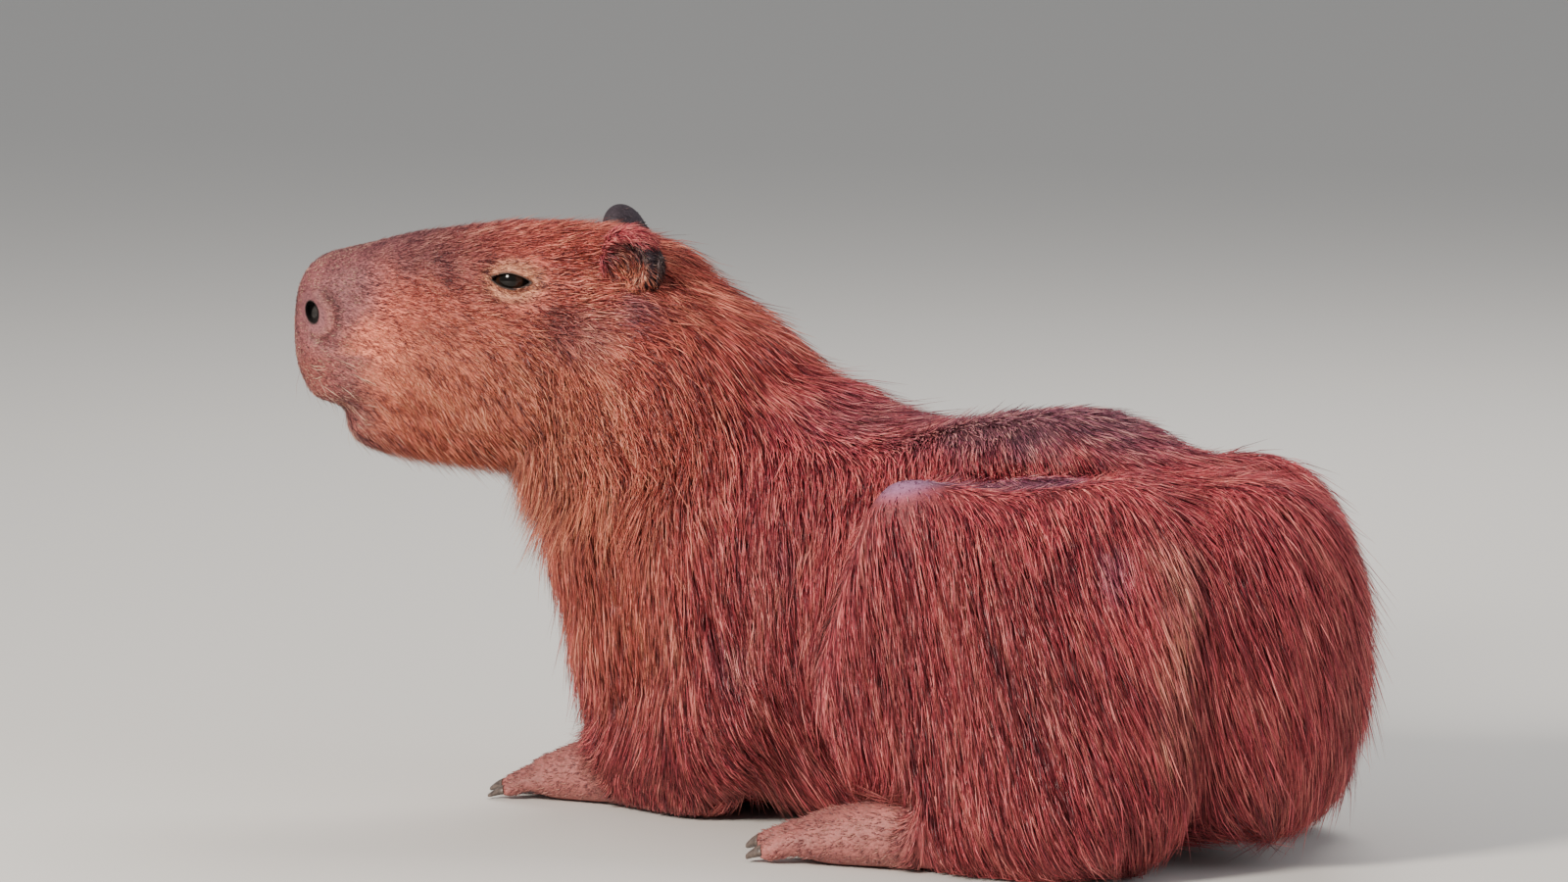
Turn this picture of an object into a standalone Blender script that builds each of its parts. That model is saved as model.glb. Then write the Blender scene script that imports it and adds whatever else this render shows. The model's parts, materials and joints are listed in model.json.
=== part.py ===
"""A capybara at rest, life size: it lies on its belly, hind feet flat, head up and turned to its left.

Metres, +Z up. The trunk lies along X and faces -X, so the animal's left side is -Y. Each mass below is a
rounded form (centre, half sizes); masses that follow each other in a chain are wrapped together, and the
chains are fused into one smooth form, which is then parted into nodes 0.3 mm or more apart.
"""

import math
import random

import bmesh
import bpy
from mathutils import Matrix, Vector
from mathutils.bvhtree import BVHTree

# Driving sizes
HEAD_TURN = math.radians(35)  # the head is turned this far to the animal's left
NOSE_TIP = Vector((-0.3085, -0.1675, 0.325))
NODE_GAP = 0.0003
CLAIM_GAP = 0.0005  # how far a cut stands off the node that it makes room for
SAME_POINT = 0.00002
FLAT_WITHIN = math.radians(0.6)  # faces this close to one plane are joined before they are triangulated
SHARPEST = 2.5  # at sharp edges the cut stands off by at most this many times as much
EYE_RADIUS = 0.0125
EYE_CENTRE = (0.157, 0.0445, 0.0465)  # in the head's frame, for either side
LID_OPENING = (0.0135, 0.0058)  # half width and half height of the gap between the lids
FLOOR = 0.0
HIND_FROM = 0.15  # what lies behind this belongs to the hind quarters
HIND_LOW = 0.10  # and what lies below this to their lower part
HIND_STAGGER = (0.012, 0.032)  # the right hind limb is tucked this much further forward, above and below
BODY_VOXEL = 0.006
BODY_ROUNDS = 12
CUTTER_VOXEL = 0.012
CUTTER_ROUNDS = 6
HEAD_VOXEL = 0.0035
HEAD_ROUNDS = 9
FOOT_VOXEL = 0.0028
FOOT_ROUNDS = 4
NOSTRIL_TRIANGLES = 70
BODY_TRIANGLES = 1300
HEAD_TRIANGLES = 1800
FOOT_TRIANGLES = 200
CUTTER_TRIANGLES = 90
CUTTER_MARGIN = 0.007  # how far a limb's cutter stands out from its masses

# The head's frame has the nose tip at its origin, x towards the nape, -y to the animal's left and z up.
HEAD = Matrix.Translation(NOSE_TIP) @ Matrix.Rotation(HEAD_TURN, 4, "Z")
BODY = Matrix.Identity(4)

# The trunk and neck, front to back: centre, half sizes, squareness
TRUNK = [
    ((-0.050, 0.000, 0.125), (0.114, 0.113, 0.128), 2.1),
    ((0.040, 0.000, 0.150), (0.112, 0.128, 0.142), 2.2),
    ((0.150, 0.000, 0.143), (0.120, 0.140, 0.144), 2.2),
    ((0.262, 0.000, 0.152), (0.105, 0.138, 0.152), 2.1),
    ((0.338, 0.000, 0.140), (0.110, 0.130, 0.134), 2.2),
    ((0.405, 0.000, 0.146), (0.080, 0.086, 0.126), 2.4),
]
NECK = [
    ((0.005, -0.002, 0.215), (0.112, 0.104, 0.094), 2.1),
    ((-0.070, -0.020, 0.190), (0.106, 0.096, 0.100), 2.1),
    ((-0.060, -0.018, 0.268), (0.097, 0.084, 0.086), 2.1),
    ((-0.100, -0.042, 0.250), (0.086, 0.072, 0.078), 2.1),
    ((-0.112, -0.045, 0.318), (0.074, 0.064, 0.066), 2.2),
]
# Hollows of the back's top line: centre, radius, depth
HOLLOWS = [
    ((0.128, 0.000, 0.300), 0.075, -0.006),
    ((0.400, 0.000, 0.280), 0.060, -0.006),
]

# The head in its own frame, nose to nape
SKULL = [
    ((0.043, 0.000, 0.007), (0.046, 0.0405, 0.056), 2.8),
    ((0.100, 0.000, 0.006), (0.055, 0.0460, 0.070), 2.7),
    ((0.160, 0.000, 0.004), (0.055, 0.0530, 0.079), 2.5),
    ((0.215, 0.000, 0.000), (0.055, 0.0640, 0.080), 2.4),
    ((0.255, 0.000, -0.006), (0.050, 0.0650, 0.076), 2.2),
]
JAW = [
    ((0.063, 0.000, -0.056), (0.027, 0.024, 0.020), 2.2),
    ((0.115, 0.000, -0.050), (0.040, 0.036, 0.032), 2.2),
    ((0.180, 0.000, -0.040), (0.050, 0.058, 0.044), 2.2),
    ((0.225, 0.000, -0.030), (0.050, 0.062, 0.056), 2.2),
]
BROW = [
    ((0.140, 0.037, 0.055), (0.018, 0.012, 0.011), 2.0),
    ((0.172, 0.041, 0.056), (0.020, 0.012, 0.011), 2.0),
]
EYE_MOUND = [
    ((0.157, 0.0415, 0.0462), (0.0185, 0.0180, 0.0155), 2.0),
    ((0.157, 0.0300, 0.0440), (0.0260, 0.0160, 0.0200), 2.0),
]

# The left limbs, drawn on the animal's left; the right ones are their mirror images
HAUNCH_FRONT = [
    ((0.232, -0.138, 0.222), (0.042, 0.036, 0.046), 2.2),
    ((0.208, -0.136, 0.118), (0.060, 0.042, 0.078), 2.1),
    ((0.300, -0.118, 0.162), (0.095, 0.058, 0.098), 2.1),
    ((0.322, -0.140, 0.056), (0.100, 0.044, 0.058), 2.1),
]
HAUNCH_REAR = [
    ((0.300, -0.118, 0.162), (0.095, 0.058, 0.098), 2.1),
    ((0.368, -0.084, 0.160), (0.076, 0.068, 0.112), 2.1),
    ((0.356, -0.102, 0.066), (0.078, 0.060, 0.068), 2.1),
]
HIP = [HAUNCH_REAR[1], ((0.336, 0.000, 0.158), (0.105, 0.110, 0.114), 2.2)]
ARM = [
    ((0.010, -0.094, 0.180), (0.062, 0.036, 0.066), 2.1),
    ((0.058, -0.108, 0.096), (0.042, 0.034, 0.050), 2.1),
    ((-0.015, -0.088, 0.042), (0.052, 0.033, 0.042), 2.1),
    ((-0.092, -0.074, 0.028), (0.034, 0.028, 0.028), 2.0),
]
HIND_FOOT = [
    ((0.345, -0.146, 0.030), (0.034, 0.024, 0.032), 2.2),
    ((0.262, -0.160, 0.026), (0.040, 0.027, 0.025), 2.2),
    ((0.196, -0.170, 0.017), (0.034, 0.031, 0.019), 2.3),
]
FORE_FOOT = [
    ((-0.100, -0.074, 0.024), (0.028, 0.024, 0.024), 2.1),
    ((-0.138, -0.076, 0.016), (0.026, 0.026, 0.017), 2.2),
]
# Toes: where each starts on its foot, how far it reaches, its turn outwards and its half width
HIND_TOES = [
    ((0.184, -0.149, 0.013), 0.036, -6, 0.0092),
    ((0.178, -0.171, 0.013), 0.044, 8, 0.0104),
    ((0.190, -0.192, 0.012), 0.034, 24, 0.0090),
]
FORE_TOES = [
    ((-0.142, -0.057, 0.011), 0.026, -20, 0.0068),
    ((-0.150, -0.069, 0.012), 0.032, -6, 0.0078),
    ((-0.150, -0.083, 0.012), 0.032, 8, 0.0078),
    ((-0.142, -0.096, 0.011), 0.026, 24, 0.0068),
]
CLAW_LENGTH = 0.013

# The ears: bases in the head's frame, the right one held further forward; half width, depth and height
EAR_BASES = {-1: (0.243, -0.058, 0.062), 1: (0.232, 0.057, 0.067)}
EAR_HALF = (0.022, 0.013, 0.024)

# Strokes on both sides of the face, in the head's frame: path, radius, and depth below or above the skin
FACE_STROKES = [
    ([(0.000, 0.000, 0.004), (0.004, 0.000, -0.020), (0.014, 0.000, -0.046)], 0.0042, -0.0016),
    (
        [
            (0.020, 0.000, -0.052),
            (0.028, 0.016, -0.051),
            (0.040, 0.028, -0.048),
            (0.062, 0.034, -0.043),
            (0.080, 0.037, -0.040),
        ],
        0.0060,
        -0.0042,
    ),
    ([(0.016, 0.020, -0.040), (0.034, 0.032, -0.038)], 0.0140, 0.0020),
    ([(0.003, 0.010, 0.000), (0.014, 0.028, -0.002), (0.034, 0.036, 0.006)], 0.0065, -0.0024),
    (
        [(0.030, 0.036, 0.010), (0.033, 0.036, 0.026), (0.022, 0.032, 0.040), (0.010, 0.024, 0.036)],
        0.0065,
        0.0022,
    ),
    ([(0.100, 0.044, 0.038), (0.132, 0.048, 0.036)], 0.0200, -0.0022),
]

# The nape end of the skull, in world space
HEAD_MASS_END = (HEAD @ Vector((0.245, 0.0, -0.004)), (0.056, 0.058, 0.072), 2.2)

# Where the head ends and where the neck ends: a point of each cut and the way it faces
HEAD_CUT = (HEAD @ Vector((0.225, 0.0, 0.0)), HEAD.to_3x3() @ Vector((1.0, 0.0, -0.35)))
NECK_CUT = (Vector((0.020, -0.010, 0.200)), Vector((0.80, 0.18, -0.60)))

# The coat: flat tapered locks that leave the skin and lie back and down over each other
COAT_SEED = 11
LOCK_SPACING = 0.0355
SITE_TRIES = 7000
LOCK_ROOT_Z = 0.055  # no lock starts lower than this
LOCK_TIP_Z = 0.010  # and none ends lower than this
SKIN_WITHIN = 0.0002
LOCK_KEEP_OFF = 0.013  # roots stay this far from the edge of their node
LOCK_SUNK = 0.0065
LOCK_THICKNESS = 0.0036
LOCK_LEFT = 0.45  # a lock that loses more than the rest of this share is left out
LOCK_STEP = 0.006  # the pace at which a lock's line is laid along the body
# Stations of a lock: share of its length, share of its width, share of its lift
LOCK_STATIONS = ((0.0, 0.62, -1.0), (0.34, 1.00, 0.30), (0.70, 0.74, 0.72), (1.0, 0.0, 1.0))
# Regions of the coat, the first that holds: box low, box high, length, width, lift
COAT_REGIONS = [
    ((0.400, -0.20, 0.00), (0.60, 0.20, 0.40), 0.078, 0.031, 0.0135),
    ((0.195, -0.20, 0.247), (0.27, -0.110, 0.30), 0.0, 0.0, 0.0),
    ((0.150, -0.12, 0.250), (0.40, 0.20, 0.40), 0.056, 0.029, 0.0080),
    ((0.150, -0.25, 0.00), (0.60, 0.25, 0.30), 0.084, 0.032, 0.0085),
    ((-0.300, -0.20, 0.270), (0.10, 0.20, 0.50), 0.072, 0.029, 0.0110),
    ((-0.300, -0.20, 0.00), (-0.05, 0.20, 0.30), 0.074, 0.028, 0.0095),
    ((-0.300, -0.25, 0.00), (0.60, 0.25, 0.50), 0.072, 0.030, 0.0075),
]
LIE_BACK = 0.48
LIE_DOWN = 1.0
LIE_TURN = (-0.06, 0.09)  # between these the lie turns from the head's own line to the trunk's
LOCK_BEND = math.radians(11)

COLOURS = {
    "coat": (0.36, 0.13, 0.075, 1.0),
    "skin": (0.33, 0.21, 0.19, 1.0),
    "ear": (0.13, 0.085, 0.085, 1.0),
    "eye": (0.018, 0.010, 0.008, 1.0),
    "claw": (0.11, 0.085, 0.075, 1.0),
}
ROUGHNESS = {"coat": 0.72, "skin": 0.62, "ear": 0.75, "eye": 0.08, "claw": 0.4}


def clear_scene():
    for obj in list(bpy.data.objects):
        bpy.data.objects.remove(obj, do_unlink=True)


def new_collection(name):
    collection = bpy.data.collections.new(name)
    bpy.context.scene.collection.children.link(collection)
    return collection


def finish_material(name):
    material = bpy.data.materials.get(name)
    if material is None:
        material = bpy.data.materials.new(name)
        material.use_nodes = True
        shader = material.node_tree.nodes["Principled BSDF"]
        shader.inputs["Base Color"].default_value = COLOURS[name]
        shader.inputs["Roughness"].default_value = ROUGHNESS[name]
        shader.inputs["Metallic"].default_value = 0.0
    return material


def object_from(bm, name, collection):
    bmesh.ops.recalc_face_normals(bm, faces=bm.faces)
    if bm.calc_volume(signed=True) < 0:
        bmesh.ops.reverse_faces(bm, faces=bm.faces)
    mesh = bpy.data.meshes.new(name)
    bm.to_mesh(mesh)
    bm.free()
    obj = bpy.data.objects.new(name, mesh)
    collection.objects.link(obj)
    return obj


def across(point):
    """Where a point of the animal's left lies on its right."""
    x, y, z = point
    if x > HIND_FROM:
        x -= HIND_STAGGER[z < HIND_LOW]
    return (x, -y, z)


def flip_side(mass):
    """The same mass on the animal's other side."""
    centre, half, square = mass
    return (across(centre), half, square)


def points_of(mass, frame):
    """Points all over a rounded mass. Squareness 2 is an ellipsoid, and more is boxier."""
    centre, half, square = mass
    ball = bmesh.new()
    bmesh.ops.create_uvsphere(ball, u_segments=24, v_segments=14, radius=1.0)
    points = []
    for vertex in ball.verts:
        size = sum(abs(c) ** square for c in vertex.co) ** (1.0 / square)
        offset = Vector(h * c / size for h, c in zip(half, vertex.co))
        points.append(frame @ (Vector(centre) + offset))
    ball.free()
    return points


def wrap(bm, point_groups):
    """Adds the tight closed skin round these groups of points."""
    verts = [bm.verts.new(p) for group in point_groups for p in group]
    made = bmesh.ops.convex_hull(bm, input=verts, use_existing_faces=False)
    inner = {g for g in made["geom_interior"] + made["geom_unused"] if isinstance(g, bmesh.types.BMVert)}
    bmesh.ops.delete(bm, geom=list(inner), context="VERTS")


def wrap_chain(bm, masses, frame=BODY):
    """Wraps each mass of a chain with the next."""
    groups = [points_of(mass, frame) for mass in masses]
    for pair in zip(groups, groups[1:]):
        wrap(bm, pair)


def apply_modifiers(obj):
    bpy.context.view_layer.update()
    graph = bpy.context.evaluated_depsgraph_get()
    mesh = bpy.data.meshes.new_from_object(obj.evaluated_get(graph))
    old = obj.data
    obj.modifiers.clear()
    obj.data = mesh
    bpy.data.meshes.remove(old)


def fuse(obj, voxel, rounds):
    """Makes one smooth closed skin of the overlapping forms in obj."""
    remesh = obj.modifiers.new("fuse", "REMESH")
    remesh.mode = "VOXEL"
    remesh.voxel_size = voxel
    smooth = obj.modifiers.new("round_off", "SMOOTH")
    smooth.factor = 0.5
    smooth.iterations = rounds
    apply_modifiers(obj)


def thin_out(obj, triangles):
    """Reduces obj to about this many triangles."""
    obj.modifiers.new("triangles", "TRIANGULATE")
    apply_modifiers(obj)
    collapse = obj.modifiers.new("thin_out", "DECIMATE")
    collapse.ratio = min(1.0, triangles / len(obj.data.polygons))
    apply_modifiers(obj)


def cut_at_floor(obj):
    """Cuts off what would reach below the floor and leaves a flat at its level."""
    bm = bmesh.new()
    bm.from_mesh(obj.data)
    geometry = list(bm.verts) + list(bm.edges) + list(bm.faces)
    bmesh.ops.bisect_plane(
        bm, geom=geometry, dist=0.00001, plane_co=(0, 0, FLOOR), plane_no=(0, 0, 1), clear_inner=True
    )
    bmesh.ops.holes_fill(bm, edges=[e for e in bm.edges if e.is_boundary], sides=0)
    bmesh.ops.triangulate(bm, faces=bm.faces)
    bm.to_mesh(obj.data)
    bm.free()


def nearest_on_path(point, path):
    """How far a point is from a polyline."""
    best = 1e9
    for a, b in zip(path, path[1:]):
        along = b - a
        t = max(0.0, min(1.0, (point - a).dot(along) / along.length_squared))
        best = min(best, (point - a - along * t).length)
    return best


def carve(obj, path, radius, depth):
    """Moves the surface near a path by depth along its normals: a groove below zero, a ridge above it."""
    mesh = obj.data
    low = Vector(min(p[i] for p in path) - radius for i in range(3))
    high = Vector(max(p[i] for p in path) + radius for i in range(3))
    moves = []
    for vertex in mesh.vertices:
        p = vertex.co
        if any(p[i] < low[i] or p[i] > high[i] for i in range(3)):
            continue
        share = nearest_on_path(p, path) / radius
        if share < 1.0:
            moves.append((vertex, vertex.normal * depth * (1.0 - share * share) ** 2))
    for vertex, move in moves:
        vertex.co += move
    mesh.update()


def both_sides(points):
    """A path in the head's frame on the right and its mirror image on the left, in world space."""
    for side in (1, -1):
        yield [HEAD @ Vector((x, side * y, z)) for x, y, z in points]


def solve(obj, others, operation, solver="EXACT"):
    """One Boolean of obj with several closed meshes, which are removed afterwards."""
    operands = bpy.data.collections.new("operands")
    bpy.context.scene.collection.children.link(operands)
    for other in others:
        for owner in list(other.users_collection):
            owner.objects.unlink(other)
        operands.objects.link(other)
    boolean = obj.modifiers.new("boolean", "BOOLEAN")
    boolean.operand_type = "COLLECTION"
    boolean.collection = operands
    boolean.operation = operation
    boolean.solver = solver
    apply_modifiers(obj)
    for other in list(operands.objects):
        bpy.data.objects.remove(other, do_unlink=True)
    bpy.data.collections.remove(operands)


def drop_scraps(bm):
    """Keeps only the largest of the surfaces that are joined edge to edge."""
    unseen = set(bm.faces)
    shells = []
    while unseen:
        shell = {unseen.pop()}
        rim = list(shell)
        while rim:
            shared = {e for face in rim for e in face.edges if len(e.link_faces) == 2}
            near = {f for e in shared for f in e.link_faces}
            rim = list(near & unseen)
            shell.update(rim)
            unseen.difference_update(rim)
        shells.append(shell)
    largest = max(shells, key=len)
    scraps = [face for shell in shells if shell is not largest for face in shell]
    bmesh.ops.delete(bm, geom=scraps, context="FACES")


def join_points(bm):
    bmesh.ops.remove_doubles(bm, verts=bm.verts, dist=SAME_POINT)
    bmesh.ops.dissolve_degenerate(bm, edges=bm.edges, dist=SAME_POINT)


def join_flats(bm):
    bmesh.ops.dissolve_limit(bm, angle_limit=FLAT_WITHIN, verts=bm.verts, edges=bm.edges)


def is_sound(bm):
    """Whether a surface is closed and touches itself nowhere."""
    return all(edge.is_manifold for edge in bm.edges) and all(vertex.is_manifold for vertex in bm.verts)


def keep_largest(obj):
    """Leaves only the largest closed surface of obj, with double points and flat faces joined if it can."""
    for step in (drop_scraps, join_points, drop_scraps, join_flats):
        bm = bmesh.new()
        bm.from_mesh(obj.data)
        step(bm)
        bmesh.ops.triangulate(bm, faces=bm.faces)
        if is_sound(bm):
            bm.to_mesh(obj.data)
        bm.free()


def half_space(cut, side, collection):
    """A large block that fills one side of a cut, half a node gap away from it."""
    point, facing = cut
    facing = facing.normalized()
    reach = 1.2
    bm = bmesh.new()
    bmesh.ops.create_cube(bm, size=2 * reach)
    turn = facing.to_track_quat("Z", "Y").to_matrix().to_4x4()
    centre = point + facing * side * (reach + NODE_GAP / 2)
    bm.transform(Matrix.Translation(centre) @ turn)
    return object_from(bm, "half_space", collection)


def grown_copy(obj, by, collection):
    """A copy of obj whose surface stands out by a little, to cut room for obj."""
    bm = bmesh.new()
    bm.from_mesh(obj.data)
    bm.normal_update()
    moves = [v.normal * by * min(v.calc_shell_factor(), SHARPEST) for v in bm.verts]
    for vertex, move in zip(bm.verts, moves):
        vertex.co += move
    copy = bpy.data.objects.new(obj.name + "_room", obj.data.copy())
    bm.to_mesh(copy.data)
    bm.free()
    collection.objects.link(copy)
    return copy


def duplicate(obj, name, collection):
    copy = bpy.data.objects.new(name, obj.data.copy())
    collection.objects.link(copy)
    return copy


def boxes_meet(a, b, slack=0.002):
    def box(obj):
        corners = [v.co for v in obj.data.vertices]
        return [(min(c[i] for c in corners), max(c[i] for c in corners)) for i in range(3)]

    return all(p[0] - slack < q[1] and q[0] - slack < p[1] for p, q in zip(box(a), box(b)))


def grown(masses, by, side=-1):
    """The masses of a chain, each larger by this much, on the left or mirrored to the right."""
    made = []
    for centre, half, square in masses:
        mass = (centre, tuple(h + by for h in half), square)
        made.append(flip_side(mass) if side > 0 else mass)
    return made


def body_form(collection):
    """Trunk, neck, haunches and upper limbs as one smooth skin, so that the nodes cut from it lie flush."""
    bm = bmesh.new()
    wrap_chain(bm, TRUNK)
    wrap_chain(bm, NECK)
    for mass in NECK[2:]:
        wrap_chain(bm, [HEAD_MASS_END, mass])
    for side in (-1, 1):
        for chain in (HAUNCH_FRONT, HAUNCH_REAR, ARM):
            masses = grown(chain, 0.0, side)
            wrap_chain(bm, masses)
            wrap(bm, [points_of(mass, BODY) for mass in masses[-3:]])
        wrap(bm, [points_of(mass, BODY) for mass in grown(HAUNCH_FRONT[:3], 0.0, side)])
        wrap_chain(bm, grown(HIP, 0.0, side))
    form = object_from(bm, "form", collection)
    fuse(form, BODY_VOXEL, BODY_ROUNDS)
    reach = Vector((0.0, 0.04, 0.0))
    for centre, radius, depth in HOLLOWS:
        carve(form, [Vector(centre) - reach, Vector(centre) + reach], radius, depth)
    cut_at_floor(form)
    thin_out(form, BODY_TRIANGLES)
    return form


def cutter_of(chains, side, by, collection):
    """A closed form a little larger than a limb's masses, which takes the limb out of the body's form."""
    bm = bmesh.new()
    for chain in chains:
        masses = grown(chain, by, side)
        wrap_chain(bm, masses)
        wrap(bm, [points_of(mass, BODY) for mass in masses[-3:]])
        wrap(bm, [points_of(mass, BODY) for mass in masses[:3]])
    cutter = object_from(bm, "cutter", collection)
    fuse(cutter, CUTTER_VOXEL, CUTTER_ROUNDS)
    thin_out(cutter, CUTTER_TRIANGLES)
    return cutter




def head_form(collection):
    """The head with its brows, lips, nose and jaw, still without lids, nostrils and ears."""
    bm = bmesh.new()
    wrap_chain(bm, SKULL, HEAD)
    wrap_chain(bm, JAW, HEAD)
    wrap_chain(bm, BROW, HEAD)
    wrap_chain(bm, EYE_MOUND, HEAD)
    mirrored = HEAD @ Matrix.Diagonal((1.0, -1.0, 1.0, 1.0))
    wrap_chain(bm, BROW, mirrored)
    wrap_chain(bm, EYE_MOUND, mirrored)
    wrap_chain(bm, NECK)
    for mass in NECK[2:]:
        wrap_chain(bm, [HEAD_MASS_END, mass])
    form = object_from(bm, "head_form", collection)
    fuse(form, HEAD_VOXEL, HEAD_ROUNDS)
    for path, radius, depth in FACE_STROKES:
        for points in both_sides(path):
            carve(form, points, radius, depth)
    return form


def ball_object(name, centre, radius, collection, segments=10, rings=8):
    bm = bmesh.new()
    bmesh.ops.create_uvsphere(bm, u_segments=segments, v_segments=rings, radius=radius)
    turn = Matrix.Rotation(HEAD_TURN, 4, "Z") @ Matrix.Rotation(math.pi / 2, 4, "X")
    bm.transform(Matrix.Translation(centre) @ turn)
    return object_from(bm, name, collection)


def side_point(point, side):
    """A point of the head's frame in world space; side is 1 on the right and -1 on the left."""
    x, y, z = point
    return HEAD @ Vector((x, side * abs(y), z))


def lid_gap(side, collection):
    """The almond-shaped gap between the lids, as a closed cutter."""
    half_width, half_height = LID_OPENING
    steps = 7
    bm = bmesh.new()
    rim = []
    for up in (1, -1):
        for i in range(steps):
            t = up * (1 - 2 * i / steps)
            rim.append((half_width * t, up * half_height * (1 - t * t)))
    near, far = [], []
    for x, z in rim:
        eye_x, eye_y, eye_z = EYE_CENTRE
        near.append(bm.verts.new(HEAD @ Vector((eye_x + x, side * eye_y, eye_z + z))))
        far.append(bm.verts.new(HEAD @ Vector((eye_x + x * 1.15, side * (eye_y + 0.03), eye_z + z * 1.3))))
    bm.faces.new(near)
    bm.faces.new(far)
    for i in range(len(rim)):
        j = (i + 1) % len(rim)
        bm.faces.new((near[i], near[j], far[j], far[i]))
    return object_from(bm, "lid_gap", collection)


def nostril(side, collection):
    """A comma-shaped nostril that opens to the side, as a closed cutter."""
    bm = bmesh.new()
    pit = [
        ((0.0160, side * 0.036, 0.0170), (0.0046, 0.0100, 0.0048), 2.0),
        ((0.0135, side * 0.033, 0.0240), (0.0044, 0.0100, 0.0050), 2.0),
    ]
    wrap_chain(bm, pit, HEAD)
    cutter = object_from(bm, "nostril", collection)
    thin_out(cutter, NOSTRIL_TRIANGLES)
    return cutter


def make_ear(name, side, collection):
    """A small rounded ear: a thick shell with an open cup that faces outwards and a little forwards."""
    lean = Matrix.Rotation(side * math.radians(-20), 4, "X") @ Matrix.Rotation(math.radians(14), 4, "Y")
    toe_in = Matrix.Rotation(side * math.radians(24), 4, "Z")
    frame = HEAD @ Matrix.Translation(EAR_BASES[side]) @ toe_in @ lean
    width, depth, height = EAR_HALF
    shell = bmesh.new()
    bmesh.ops.create_uvsphere(shell, u_segments=12, v_segments=8, radius=1.0)
    shell.transform(frame @ Matrix.Diagonal((width, depth, height, 1.0)))
    ear = object_from(shell, name, collection)
    cup = bmesh.new()
    bmesh.ops.create_uvsphere(cup, u_segments=10, v_segments=7, radius=1.0)
    place = Matrix.Translation((-0.001, side * 0.0085, 0.0025))
    cup.transform(frame @ place @ Matrix.Diagonal((width * 0.80, depth * 1.02, height * 0.80, 1.0)))
    solve(ear, [object_from(cup, "ear_cup", collection)], "DIFFERENCE")
    keep_largest(ear)
    return ear


def toe_chain(toe, side):
    """A toe's masses from its foot to where its claw starts, and the way it points."""
    start, length, out, half = toe
    angle = math.radians(out)
    ahead = Vector((-math.cos(angle), side * math.sin(angle), 0.0))
    start = Vector(across(start) if side > 0 else start)
    knuckle = start + ahead * length * 0.45 + Vector((0, 0, half * 0.25))
    tip = start + ahead * length
    tip.z = half * 0.80
    chain = [
        (start, (half * 1.5, half * 1.2, half), 2.0),
        (knuckle, (half * 1.1, half * 1.08, half * 1.02), 2.0),
        (tip, (half * 1.0, half * 0.92, half * 0.82), 2.0),
    ]
    return chain, tip, ahead


def make_foot(name, masses, toes, side, collection, triangles):
    bm = bmesh.new()
    wrap_chain(bm, [flip_side(mass) for mass in masses] if side > 0 else masses)
    for toe in toes:
        chain, _, _ = toe_chain(toe, side)
        wrap_chain(bm, chain)
    foot = object_from(bm, name, collection)
    fuse(foot, FOOT_VOXEL, FOOT_ROUNDS)
    cut_at_floor(foot)
    thin_out(foot, triangles)
    return foot


def make_claw(name, toe, side, collection):
    """A blunt, hoof-like claw: a short cone, flattened and bent down over the toe's tip."""
    _, tip, ahead = toe_chain(toe, side)
    half = toe[3]
    bm = bmesh.new()
    bmesh.ops.create_cone(
        bm, cap_ends=True, segments=8, radius1=half * 0.74, radius2=half * 0.26, depth=CLAW_LENGTH
    )
    hinge = ahead.cross(Vector((0, 0, 1))).normalized()
    dip = Matrix.Rotation(math.radians(-14), 3, hinge)
    along = (dip @ ahead).normalized()
    turn = along.to_track_quat("Z", "Y").to_matrix().to_4x4()
    centre = tip + along * (half * 0.55 + CLAW_LENGTH * 0.40) + Vector((0, 0, half * 0.10))
    bm.transform(Matrix.Translation(centre) @ turn @ Matrix.Diagonal((1.0, 0.72, 1.0, 1.0)))
    claw = object_from(bm, name, collection)
    for vertex in claw.data.vertices:
        vertex.co.z = max(vertex.co.z, FLOOR + 0.0006)
    return claw


def lie_at(point, normal):
    """The way the coat lies at a point of the skin: backwards and down."""
    share = max(0.0, min(1.0, (LIE_TURN[1] - point.x) / (LIE_TURN[1] - LIE_TURN[0])))
    back = Vector((math.cos(HEAD_TURN * share), math.sin(HEAD_TURN * share), 0.0))
    way = back * LIE_BACK - Vector((0.0, 0.0, LIE_DOWN))
    way -= normal * way.dot(normal)
    return way.normalized()


def coat_at(point):
    """Length, width and lift of the locks that start at a point."""
    for low, high, length, width, lift in COAT_REGIONS:
        if all(low[i] <= point[i] <= high[i] for i in range(3)):
            return length, width, lift
    return 0.0, 0.0, 0.0


def coat_sites(form):
    """Places for locks, spread evenly over the form, each with the skin's normal there."""
    draw = random.Random(COAT_SEED)
    faces = list(form.data.polygons)
    picked = draw.choices(faces, weights=[face.area for face in faces], k=SITE_TRIES)
    sites = []
    for face in picked:
        a, b, c = (form.data.vertices[i].co for i in face.vertices)
        u, v = sorted((draw.random(), draw.random()))
        place = a * u + b * (v - u) + c * (1 - v)
        if place.z < LOCK_ROOT_Z or coat_at(place)[0] == 0.0:
            continue
        if all((place - other).length > LOCK_SPACING for other, _ in sites):
            sites.append((place, face.normal.copy()))
    return sites


def lay_line(tree, place, normal, length, bend):
    """Walks along the skin the way the coat lies, and lists each place, normal and heading passed."""
    line = [(place, normal, lie_at(place, normal))]
    for step in range(int(length / LOCK_STEP)):
        way = Matrix.Rotation(bend * step * LOCK_STEP / length, 3, normal) @ lie_at(place, normal)
        found, skin_normal, _, _ = tree.find_nearest(place + way * LOCK_STEP)
        normal = (normal + skin_normal).normalized()
        place = found
        if place.z < LOCK_TIP_Z:
            break
        line.append((place, normal, way))
    return line


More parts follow.
